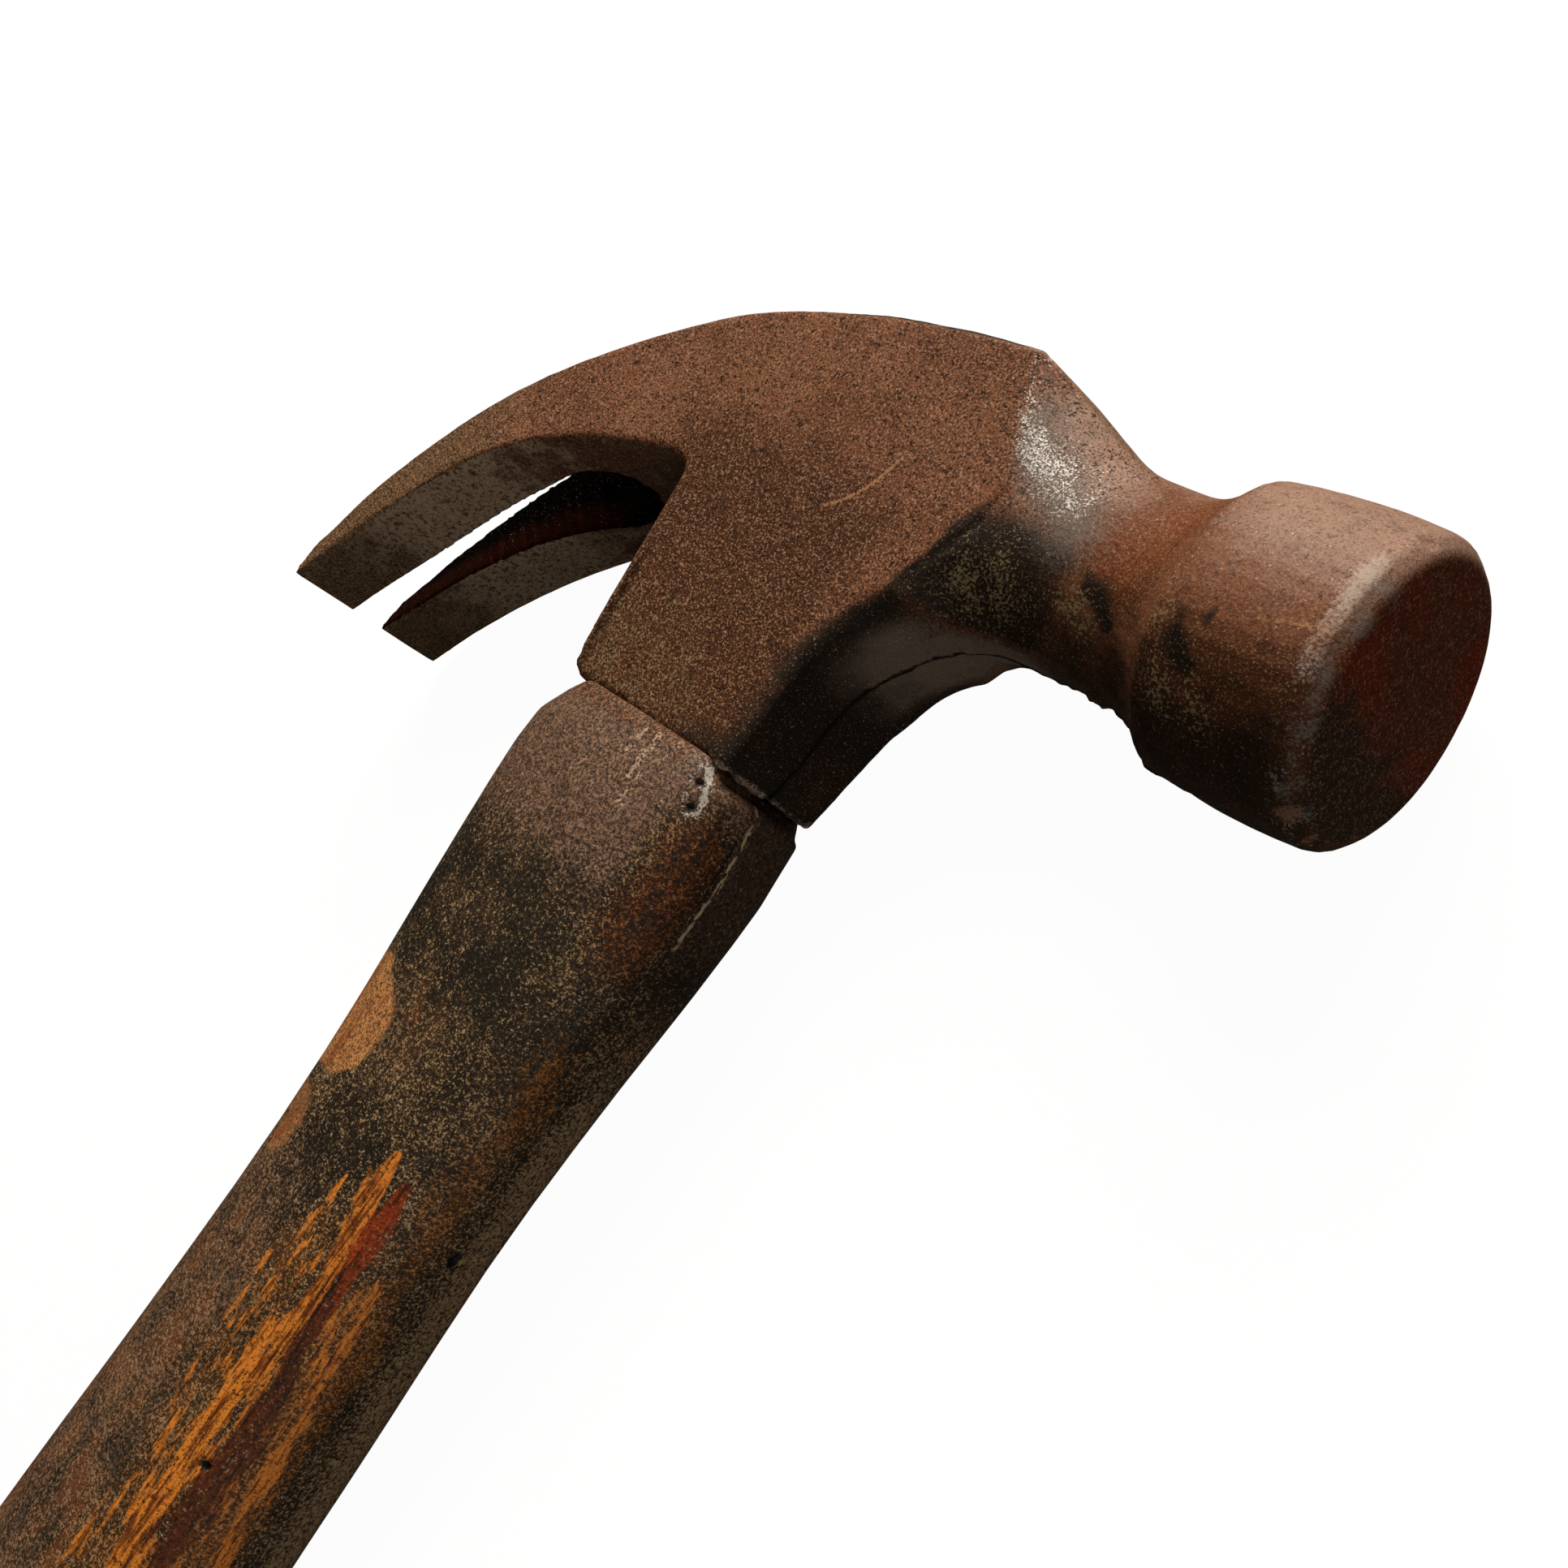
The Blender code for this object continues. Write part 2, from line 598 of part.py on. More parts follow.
def make_wedges(parts, cutters):
    """The wooden wedge in the kerf, and the two steel wedges driven across it."""
    foot_y = TENON_TOP_Y - KERF_DEPTH + WEDGE_FOOT_GAP
    half_x = eye_halves(foot_y)[0] - WEDGE_END_GAP
    rings = wedge_rings(EYE_X, half_x, kerf_half(TENON_TOP_Y, 0.0), lambda x: tenon_end_y(x, WEDGE_SUNK),
                        foot_y, half_x, kerf_half(foot_y, 0.0))
    wood = loft("kerf_wedge", parts, rings)
    for name in ("slit_front", "slit_rear"):
        boolean(wood, bpy.data.objects[name], "DIFFERENCE")
    paint(wood, "pale_wood", (0.30, 0.19, 0.10), 0.0, 0.7)
    foot_y = TENON_TOP_Y - STEEL_DEPTH + FIT
    for name, x in (("steel_wedge_front", STEEL_FRONT_X), ("steel_wedge_rear", STEEL_REAR_X)):
        rings = wedge_rings(x, steel_half(TENON_TOP_Y, 0.0), STEEL_HALF_LENGTH,
                            lambda x: tenon_end_y(x, -STEEL_PROUD), foot_y,
                            steel_half(foot_y, 0.0), STEEL_HALF_LENGTH)
        steel = loft(name, parts, rings)
        paint(steel, name.replace("wedge", "metal"), (0.20, 0.19, 0.18), 0.9, 0.55)


def lay_on_side(parts):
    """Parents every piece to an empty moved so that the box's bottom centre is the world origin."""
    bpy.context.view_layer.update()
    graph = bpy.context.evaluated_depsgraph_get()
    low = np.full(3, np.inf)
    high = np.full(3, -np.inf)
    pieces = list(parts.objects)
    for obj in pieces:
        corners = np.array(obj.evaluated_get(graph).bound_box)
        low = np.minimum(low, corners.min(axis=0))
        high = np.maximum(high, corners.max(axis=0))
    holder = bpy.data.objects.new("hammer_frame", None)
    parts.objects.link(holder)
    holder.location = (-(low[0] + high[0]) / 2, -(low[1] + high[1]) / 2, -low[2])
    for obj in pieces:
        obj.parent = holder
    return holder


def main():
    clear_scene()
    parts = new_collection("claw_hammer")
    cutters = new_collection("cutters")
    make_head(parts, cutters)
    make_handle(parts, cutters)
    make_wedges(parts, cutters)
    holder = lay_on_side(parts)
    for obj in cutters.objects:
        obj.parent = holder


main()
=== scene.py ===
# %% [markdown]
# A claw hammer, dressed for its portrait.
#
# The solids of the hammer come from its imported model: a steel head, a wooden handle and the wedges that
# hold the two together. They are exact but too clean. This lesson takes a fine copy of each solid, works
# the copy as years in a toolbox would, and then paints it with node materials.

import json
import math

import bpy
import numpy as np
from mathutils import Matrix, Vector, noise

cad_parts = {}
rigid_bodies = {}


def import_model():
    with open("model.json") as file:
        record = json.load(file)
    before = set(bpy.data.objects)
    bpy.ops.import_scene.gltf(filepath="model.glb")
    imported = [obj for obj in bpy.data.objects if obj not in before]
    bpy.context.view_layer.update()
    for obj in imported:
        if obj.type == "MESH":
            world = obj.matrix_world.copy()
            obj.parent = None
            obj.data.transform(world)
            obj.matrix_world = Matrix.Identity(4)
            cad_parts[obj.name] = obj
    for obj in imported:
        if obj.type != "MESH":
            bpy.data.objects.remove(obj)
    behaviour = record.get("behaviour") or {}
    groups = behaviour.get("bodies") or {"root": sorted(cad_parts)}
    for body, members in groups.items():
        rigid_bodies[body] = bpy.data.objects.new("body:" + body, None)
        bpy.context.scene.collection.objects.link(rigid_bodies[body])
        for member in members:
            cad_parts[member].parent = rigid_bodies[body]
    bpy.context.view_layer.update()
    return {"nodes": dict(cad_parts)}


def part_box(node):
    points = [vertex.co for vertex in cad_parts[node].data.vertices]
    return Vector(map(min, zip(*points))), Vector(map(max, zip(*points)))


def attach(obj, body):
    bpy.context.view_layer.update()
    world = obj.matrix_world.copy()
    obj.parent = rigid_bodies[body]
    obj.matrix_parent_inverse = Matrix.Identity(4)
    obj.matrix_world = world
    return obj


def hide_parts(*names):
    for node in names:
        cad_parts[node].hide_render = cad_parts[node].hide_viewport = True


NOISE_SEED = 11  # without a seed, vector noise starts from the clock and no two runs are alike
noise.seed_set(NOISE_SEED)
for leftover in list(bpy.data.objects):
    bpy.data.objects.remove(leftover)

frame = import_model()
print("solids:", sorted(frame["nodes"]))

# %% [markdown]
# A hammer is easiest to talk about from the spot where the axis of the handle crosses the axis of the
# bell. x runs from there to the striking face, y up to the top of the head and z out of the upper cheek.
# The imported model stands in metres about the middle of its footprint. Everything below is placed in
# millimetres from the crossing instead, so the crossing is found first.

# %% Find where the two axes cross
MM = 0.001
CROSSING_TO_FACE = 64.4
CROSSING_TO_TOP = 14.7
head_low, head_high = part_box("head")
crossing = Vector((
    head_high.x - CROSSING_TO_FACE * MM,
    head_high.y - CROSSING_TO_TOP * MM,
    (head_low.z + head_high.z) / 2,
))
print("axes cross at", [round(v / MM, 2) for v in crossing], "mm")

# %% [markdown]
# The camera stands close, 17 cm from the crossing: out past the striking face, above the upper cheek and
# a little toward the butt. So near, a fairly wide lens makes the bell loom and the handle fall away. The
# view is also rolled, so three unit vectors give it better than angles do: which way is right, down and
# forward in the picture.

# %% Set up the camera
CAMERA_PLACE = (118.87, -37.776, 119.061)
TO_RIGHT = Vector((0.63282, 0.56531, -0.52912))
TO_BOTTOM = Vector((0.40641, -0.82416, -0.39446))
INTO_VIEW = Vector((-0.65907, 0.03458, -0.75129))
lens = bpy.data.cameras.new("portrait_lens")
lens.sensor_width = 36.0
lens.lens = 36.11
lens.clip_start = 5 * MM
camera = bpy.data.objects.new("portrait_camera", lens)
turned = Matrix((TO_RIGHT, -TO_BOTTOM, -INTO_VIEW)).transposed().to_4x4()
camera.matrix_world = Matrix.Translation(crossing + Vector(CAMERA_PLACE) * MM) @ turned
bpy.context.scene.collection.objects.link(camera)
bpy.context.scene.camera = camera
print("camera is", round((camera.location - crossing).length / MM), "mm from the crossing")

# %% [markdown]
# A fine copy starts as the solid's own mesh. A solid from a CAD program has long thin faces and razor
# edges. A voxel remesh pours the shape into a grid of small cubes and gives back an even skin of little
# squares, and a few rounds of smoothing then wear the edges off by one to three tenths of a millimetre,
# as forging scale, tumbling and use do. A bevel on every edge would be the other way, but bevels break
# where many thin faces meet.

# %% Make fine copies of the solids
WELD_GAP = 0.002


def fine_copy(node, name, cube_mm, rounds):
    mesh = frame["nodes"][node].data.copy()
    mesh.materials.clear()
    piece = bpy.data.objects.new(name, mesh)
    bpy.context.scene.collection.objects.link(piece)
    weld = piece.modifiers.new("weld", "WELD")
    weld.merge_threshold = WELD_GAP * MM
    cubes = piece.modifiers.new("cubes", "REMESH")
    cubes.mode = "VOXEL"
    cubes.voxel_size = cube_mm * MM
    soften = piece.modifiers.new("soften", "SMOOTH")
    soften.factor = 0.5
    soften.iterations = rounds
    graph = bpy.context.evaluated_depsgraph_get()
    piece.data = bpy.data.meshes.new_from_object(piece.evaluated_get(graph))
    piece.modifiers.clear()
    piece.data.name = name
    piece.data.polygons.foreach_set("use_smooth", [True] * len(piece.data.polygons))
    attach(piece, "root")
    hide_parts(node)
    print(name, "has", len(piece.data.vertices), "points")
    return piece


forged_head = fine_copy("head", "forged_head", cube_mm=0.28, rounds=4)
wooden_handle = fine_copy("handle", "wooden_handle", cube_mm=0.5, rounds=4)
wooden_wedge = fine_copy("kerf_wedge", "wooden_wedge", cube_mm=0.25, rounds=3)
front_wedge = fine_copy("steel_wedge_front", "front_steel_wedge", cube_mm=0.22, rounds=3)
rear_wedge = fine_copy("steel_wedge_rear", "rear_steel_wedge", cube_mm=0.22, rounds=3)

# %% [markdown]
# A fine copy can have hundreds of thousands of points. A loop over them in Python would be slow, so they
# are worked as whole arrays wherever that is possible. The first helpers read the points and normals of a
# piece, the points in millimetres from the crossing, and write moved points back.

# %% Helpers that read and move points


def vectors_of(piece, source, field):
    flat = np.empty(len(piece.data.vertices) * 3, np.float32)
    source.foreach_get(field, flat)
    return flat.reshape(-1, 3).astype(float)


def points_of(piece):
    return (vectors_of(piece, piece.data.vertices, "co") - np.array(crossing)) / MM


def normals_of(piece):
    return vectors_of(piece, piece.data.vertex_normals, "vector")


def put_points(piece, points):
    flat = (points * MM + np.array(crossing)).astype(np.float32)
    piece.data.vertices.foreach_set("co", flat.ravel())
    piece.data.update()


print("head spans", np.ptp(points_of(forged_head), axis=0).round(1), "mm")

# %% [markdown]
# The next helpers measure. One says how near each point is to a few spots and one how near to a line, 1
# on it and 0 at its reach. A third eases a number from 0 to 1 between two limits, as a soft brush does.
# The last gives smooth noise from -1 to 1 in lumps of about a given size in millimetres.

# %% Helpers that measure


def near_spots(points, spots):
    """Each spot is x, y, z and its reach."""
    best = np.zeros(len(points))
    for x, y, z, reach in spots:
        gap = np.linalg.norm(points - np.array((x, y, z)), axis=1)
        best = np.maximum(best, 1.0 - gap / reach)
    return best


def near_line(points, line, reach):
    best = np.zeros(len(points))
    for start, end in zip(line[:-1], line[1:]):
        a = np.array(start)
        way = np.array(end) - a
        share = np.clip((points - a) @ way / (way @ way), 0.0, 1.0)
        gap = np.linalg.norm(points - a - share[:, None] * way, axis=1)
        best = np.maximum(best, 1.0 - gap / reach)
    return best


def ease(value, low, high):
    share = np.clip((value - low) / (high - low), 0.0, 1.0)
    return share * share * (3.0 - 2.0 * share)


def uneven(points, size, moved):
    return np.array([noise.noise(Vector(p)) for p in points / np.array(size) + moved])


print("halfway up a soft edge:", ease(0.5, 0.0, 1.0))

# %% [markdown]
# A drop forging is pressed between two dies that meet on its middle plane. They never meet quite true, so
# under the neck one half stands a hair proud of the other, and a thread of metal that squeezed out between
# them is left as a ragged line with a lump where it thickens. It could be cut and extruded, but moving the
# points near that line is enough: the near half is lifted a third of a millimetre above the far one and
# fades away to the side.

# %% Press the die line into the neck
DIE_LINE = (
    (13.9, -35.0, 0), (15.4, -21.6, 0), (18.3, -17.0, 0), (23.8, -12.6, 0), (28.1, -10.9, 0),
    (33.0, -10.4, 0), (40.0, -10.8, 0), (45.0, -12.2, 0), (48.5, -13.6, 0),
)
DIE_STEP = 0.34
DIE_THREAD = 0.22
LUMP_HEIGHT = 0.75
LUMPS = ((40.4, -11.0, 0.2, 2.0), (42.6, -11.6, 0.1, 1.1))
skin = points_of(forged_head)
facing = normals_of(forged_head)
wander = 0.35 * uneven(skin * np.array((1, 1, 0)), 2.2, 3.1)
side = skin[:, 2] - wander
proud = ease(near_line(skin, DIE_LINE, 7.0), 0.05, 0.5) * (DIE_STEP * ease(side, -0.25, 0.2) - 0.10)
thread = ease(1.0 - np.abs(side) / 0.5, 0.0, 1.0) * ease(near_line(skin, DIE_LINE, 1.6), 0.1, 0.5)
ragged = np.clip(0.5 + 1.3 * uneven(skin, (1.1, 1.1, 2.0), 8.4), 0.0, 1.0)
lump = ease(near_spots(skin, LUMPS), 0.0, 0.7) * (0.6 + 0.5 * uneven(skin, 0.7, 1.7))
skin += facing * (proud + DIE_THREAD * thread * ragged + LUMP_HEIGHT * lump)[:, None]
print("die line stands proud by up to", round(float(proud.max()), 2), "mm")

# %% [markdown]
# Steel that has been hammered, dropped and cleaned is never dead flat. Broad shallow unevenness keeps the
# cheeks from looking machined, chips are knocked out of the striking rim, and the lip round the handle is
# left ragged, with a small notch in front where the two dies met. A sculptor would do this with a brush.
# Noise that moves each point along its normal does it evenly all over, and alike on every run.

# %% Age the head
RIM_CHIPS = ((63.2, -13.0, 3.4, 2.6), (63.6, -12.6, -1.2, 1.5), (62.9, 9.6, 9.4, 1.3))
CHIP_DEPTH = 0.5
NOTCH_DEPTH = 0.9
NOTCH_HALF = 1.1
broad = uneven(skin, 9.0, 0.4)
fine = uneven(skin, 1.7, 5.2)
chips = ease(near_spots(skin, RIM_CHIPS), 0.1, 0.8)
skin -= facing * (0.07 * broad + 0.022 * fine + CHIP_DEPTH * chips)[:, None]
at_lip = ease(-skin[:, 1], 32.6, 34.4) * (skin[:, 0] > -25.0)
tatters = 0.35 * uneven(skin, (1.6, 9.0, 1.6), 7.7) + 0.25 * uneven(skin, (0.7, 9.0, 0.7), 2.2)
skin[:, 1] += at_lip * tatters
notch = ease(1.0 - np.abs(skin[:, 2]) / NOTCH_HALF, 0.0, 1.0) * at_lip * ease(skin[:, 0], 11.0, 13.0)
skin[:, 1] += NOTCH_DEPTH * notch
put_points(forged_head, skin)
print("head aged: chips up to", CHIP_DEPTH, "mm deep, a notch of", NOTCH_DEPTH, "mm in the lip")

# %% [markdown]
# The paint needs to know where things are. An image painted over an unwrapped mesh could tell it, but the
# mesh is so fine that a number per point will do, and that needs no unwrapping. Each such mask is read by
# the material by name. The masks have soft edges here, and the material breaks them up with grain. Spots
# are measured from points that noise has pushed about, so that a stain comes out ragged and not as a disc.
# The first masks are the slow changes of the brown itself, with painted light in two of them: the pink-tan
# on faces turned up is partly a dusty film and partly a painted highlight, and the umber is partly painted
# shade under the bell.

# %% Mask the browns of the head


def keep_masks(piece, **masks):
    """Each mask is kept on the piece under its own name, as a number from 0 to 1 per point."""
    for name, values in masks.items():
        made = piece.data.attributes.new(name, "FLOAT", "POINT")
        made.data.foreach_set("value", np.clip(values, 0.0, 1.0).astype(np.float32))
    print(piece.name, "masks:", ", ".join(masks))


def pushed(points, size, amount, moved):
    """The points pushed about by noise in lumps of this size."""
    return points + amount * np.array([noise.noise_vector(Vector(p)) for p in points / size + moved])


NECK_SHADE = ((42.0, 2.6, 10.5, 11.0), (39.0, 0.0, 10.0, 8.0))
NECK_BLUSH = ((29.0, 9.5, 9.5, 9.0), (34.0, 6.5, 9.5, 7.0))
NECK_UMBER = ((42.0, -1.5, 10.5, 9.0), (38.0, -1.0, 10.0, 7.0), (45.0, 2.5, 11.0, 5.0))
NECK_COPPER = ((42.0, 1.5, 10.5, 8.0), (38.5, 0.0, 10.0, 6.0), (45.0, 3.5, 11.0, 5.0))
facing = normals_of(forged_head)
upward = facing[:, 1]
sideways = np.abs(facing[:, 2])
astray = pushed(skin, 2.6, 1.6, 4.0)
x, y, z = skin.T
on_bell = ease(x, 43.0, 50.0)
# Painted highlight over a dusty film: faces turned up, and the upper half of the bell, are painted lighter
# and pinker.
rosy = ease(upward, 0.05, 0.75) * ease(x, -4.0, 20.0)
rosy = np.maximum(0.85 * rosy, on_bell * ease(upward, -0.40, 0.55))
rosy *= 1.0 - near_spots(astray, NECK_SHADE)
rosy = np.maximum(rosy, 1.3 * near_spots(astray, NECK_BLUSH))
# A darker umber brown, deeper toward the bottom of the cheek and in spots on the neck; on the underside of
# the bell it is painted shade.
umber = np.maximum.reduce([
    ease(-y, -6.0, 9.0) * ease(x, -24.0, -12.0) * ease(-x, -24.0, -10.0),
    1.2 * near_spots(astray, NECK_UMBER),
    on_bell * ease(-upward, 0.0, 0.5),
])
copper = 1.5 * near_spots(astray, NECK_COPPER)
olive = ease(-x, 26.0, 54.0) + 0.55 * ease(-y, 14.0, 30.0) * ease(-x, -15.0, -2.0)
keep_masks(forged_head, rosy=rosy, umber=umber, copper=copper, olive=olive)

# %% [markdown]
# Other finishes belong to one part of the head: the smooth bell, the struck face, the inner side of the
# claw, the walls of the nail slot, the tips, and the top and the lip where grime gathers. The inner side
# of the claw is an arc that curls away near the tips, so it is found by its distance from the centre of
# that arc. The walls of the slot are told by the way they face, which is sideways.

# %% Mask the parts of the head
CLAW_CENTRE_X = -9.2
CLAW_CENTRE_Y = -61.4
INNER_RADIUS = 53.3
CURL_FROM = 138.0  # degrees round the centre, from the direction of the face
CURL_SPAN = 23.4
CURL_RISE = 2.7
from_bell_axis = np.hypot(y, z)
round_claw = np.degrees(np.arctan2(y - CLAW_CENTRE_Y, x - CLAW_CENTRE_X))
curl = CURL_RISE * (np.clip(round_claw - CURL_FROM, 0.0, None) / CURL_SPAN) ** 2
off_inner = np.hypot(x - CLAW_CENTRE_X, y - CLAW_CENTRE_Y) - INNER_RADIUS - curl
on_top = ease(y, 9.5, 13.5) * ease(-sideways, -0.97, -0.80) * ease(-x, -22.0, -16.0) * ease(x, -40.0, -20.0)
dirty_lip = ease(-y, 29.0, 34.2) * ease(x, -20.0, -14.0) * (0.35 + 0.5 * ease(x, 4.0, 10.0))
keep_masks(
    forged_head,
    smooth=np.maximum(on_bell, 0.8 * ease(x, 34.0, 38.0)),
    face=ease(x, 63.0, 64.0) * ease(-from_bell_axis, -13.4, -11.9),
    low_face=ease(-y, -1.0, 8.0),
    claw_inside=ease(-off_inner, -1.7, -0.6) * ease(-x, 14.6, 16.5) * ease(-sideways, -0.85, -0.5),
    # The slot walls are painted near black further on, as painted shade.
    claw_slot=ease(-x, 25.0, 28.0) * ease(sideways, 0.30, 0.65) * ease(-np.abs(z), -8.5, -7.0),
    slot_glow=ease(-off_inner, -6.0, -1.2) * ease(-x, 30.0, 42.0),
    claw_tip=ease(-x, 49.0, 60.0),
    grime=np.maximum(on_top, dirty_lip),
)

# %% [markdown]
# Now the marks, dark ones first, with painted shade among them. Soot lies on the flank in front of the
# cheek's edge and in a few stains; along the underside of neck and bell the same dark is painted shade. The
# hollow below the neck is painted dark, partly dark oxide and partly painted shade, and its lower side has a
# grey painted sheen for light thrown up from below. A khaki bloom has settled on flank, bell and socket. The
# edge where the cheek ends is a bent line, so its place is looked up by height.

# %% Mask the dark marks and painted shade of the head
EDGE_Y = (-34.6, -29.0, -21.7, -18.7, -15.2, -11.5, -8.1, -4.1, 1.0)
EDGE_X = (13.6, 14.5, 15.0, 15.9, 17.8, 20.4, 22.3, 23.7, 26.0)
BELL_STAINS = ((51.6, -6.8, 12.6, 3.2), (53.0, -7.4, 12.4, 2.6), (53.6, -3.4, 13.7, 1.2))
NECK_STAIN = ((38.6, -4.3, 9.5), (41.4, -5.6, 8.9))
BLOOM_SPOTS = (
    (26.4, -8.1, 7.7, 7.5), (30.0, -6.8, 8.2, 6.5), (28.7, -5.0, 9.4, 5.0), (37.7, -5.9, 8.6, 5.0),
    (39.6, -7.6, 7.2, 4.5), (54.0, -9.5, 10.6, 6.0), (50.8, -9.6, 10.4, 5.5), (48.5, -4.9, 13.0, 3.5),
)
past_edge = x - np.interp(y, EDGE_Y, EDGE_X)
outward = ease(sideways, 0.05, 0.5)
low = ease(-y, 9.0, 15.0)
before_bell = ease(-x, -42.0, -31.0)
flank = ease(past_edge, -1.5, -0.2) * ease(-y, -3.0, 4.5) * before_bell * outward * (1.0 - low)
edge_start = -1.4 - 4.0 * ease(-y, 12.0, 24.0)
dark_edge = 0.8 * ease(past_edge, edge_start, 0.5) * ease(-y, 1.0, 10.0) * ease(-past_edge, -3.0, 0.0)
under_neck = np.maximum(low, (1.0 - outward) * ease(-y, 6.0, 10.0))
# Painted shade: the hollow under the neck and faces turned down there are painted dark, partly dark oxide.
hollow = ease(past_edge, -0.3, 0.8) * before_bell * under_neck
stains = np.maximum(near_spots(astray, BELL_STAINS), near_line(astray, NECK_STAIN, 2.2))
# Painted shade: faces of neck and bell that turn down are painted dark.
low_bell = 0.7 * ease(x, 30.0, 36.0) * ease(-upward, 0.1, 0.9)
socket_bloom = 0.55 * ease(-y, 12.0, 30.0) * ease(-x, -14.0, 2.0) * ease(x, -22.0, -12.0)
keep_masks(
    forged_head,
    hollow=hollow,
    # Painted sheen: grey on the lower side of the hollow stands for light thrown up from the floor.
    slate=hollow * ease(y, -27.0, -16.0) * ease(-np.abs(z), -9.0, -5.0),
    soot=np.maximum.reduce([flank, dark_edge, 1.2 * stains, low_bell]),
    bloom=np.maximum(near_spots(astray, BLOOM_SPOTS), socket_bloom),
)

# %% [markdown]
# Then the bright marks: bare steel rubbed out on the ridge in front of the cheek, with a grey halo on the
# side of the neck, and the rim of the face, worn pale and dull grey by blows. The pale of the rim is also a
# painted highlight, strongest just above the axis of the bell. The ridge of the far cheek is rubbed too,
# more faintly; folding the head over its middle plane brings it onto the same line.

# %% Mask the bare steel and the painted rim highlight of the head
RIDGE = ((20.8, 13.8, 12.0), (22.4, 10.5, 11.7), (24.2, 7.4, 11.2), (26.2, 5.6, 10.9), (27.6, 4.6, 10.6))
RIDGE_RUBS = ((27.0, 5.0, 10.7, 4.6), (30.0, 3.7, 10.4, 4.8), (32.6, 2.6, 10.2, 3.4))
HALO_LINE = RIDGE[2:] + ((31.0, 2.6, 10.3), (34.5, 0.2, 10.4))
HALO_Y = (2.0, 4.6, 7.4, 10.5, 13.8)
HALO_X = (25.6, 24.8, 24.0, 22.4, 20.8)
RIM_X = 63.4
RIM_RADIUS = 13.2
RIM_ANGLES = [math.radians(a) for a in range(-75, 26, 10)]
RIM_LINE = [(RIM_X, RIM_RADIUS * math.sin(a), RIM_RADIUS * math.cos(a)) for a in RIM_ANGLES]
RIM_BRUISE = ((63.8, 0.5, 12.6, 4.5),)
folded = skin * np.array((1, 1, -1))
rubbed = 0.8 * near_line(astray, RIDGE, 2.0) + near_spots(astray, RIDGE_RUBS)
rubbed += 0.5 * near_line(folded, RIDGE, 2.2)
halo = near_line(skin, HALO_LINE, 6.6) * ease(x - np.interp(y, HALO_Y, HALO_X), -2.2, 1.4)
# Painted highlight: the rim is painted palest just above the axis of the bell and fainter below and at the
# very top.
polish = 0.34 + 0.62 * ease(y, -7.0, 1.0) - 0.55 * ease(y, 4.5, 9.0)
rim = ease(x, 60.7, 62.0) * ease(-x, -64.0, -62.6) * ease(from_bell_axis, 11.8, 13.2) * polish
lip = 0.7 * ease(-y, 33.6, 34.6) * ease(x, 9.0, 13.0)
keep_masks(
    forged_head,
    rubbed=rubbed,
    greyed=np.maximum(halo, 0.5 * near_line(folded, RIDGE, 2.6)),
    rim=np.maximum(rim, lip),
    dull_grey=near_line(astray, RIM_LINE, 2.4) + 0.5 * near_spots(astray, RIM_BRUISE),
    chip=chips,
)

# %% [markdown]
# Last on the head come the thin marks: a long scratch across the cheek, one on the bell, four nicks on
# the upper edge of the cheek, and the zone in which the die line may show as a dark thread.

# %% Mask the scratches of the head
CHEEK_SCRATCH = (
    (7.0, -7.4, 10.5), (9.0, -6.0, 10.6), (10.6, -4.4, 10.7), (12.0, -2.0, 10.9), (12.9, 0.2, 11.0),
)
BELL_SCRATCH = ((57.0, -2.5, 14.2), (60.0, -1.9, 14.2), (63.0, -1.0, 13.9))
NICK_STARTS = (2.2, 3.6, 5.6, 6.8)
NICK_RUN = 1.4
scratches = np.maximum(near_line(skin, CHEEK_SCRATCH, 0.55), near_line(skin, BELL_SCRATCH, 0.5))
for start in NICK_STARTS:
    nick = ((start, 13.4, 12.2), (start + NICK_RUN, 14.2, 11.6))
    scratches = np.maximum(scratches, near_line(skin, nick, 0.5))
keep_masks(forged_head, scratch=scratches, die_zone=ease(near_line(skin, DIE_LINE, 2.4), 0.2, 0.6))

# %% [markdown]
# Node materials read better as sentences than as wires. So a finish is made by a small class whose
# methods each add a node and hand back what comes out of it. The first half deals in numbers: a grain of
# a given size in millimetres, a mask by name, sums, a soft step that turns a grain into specks, and a
# mask whose soft edge is broken up by a grain.

# %% A class that wires up numbers


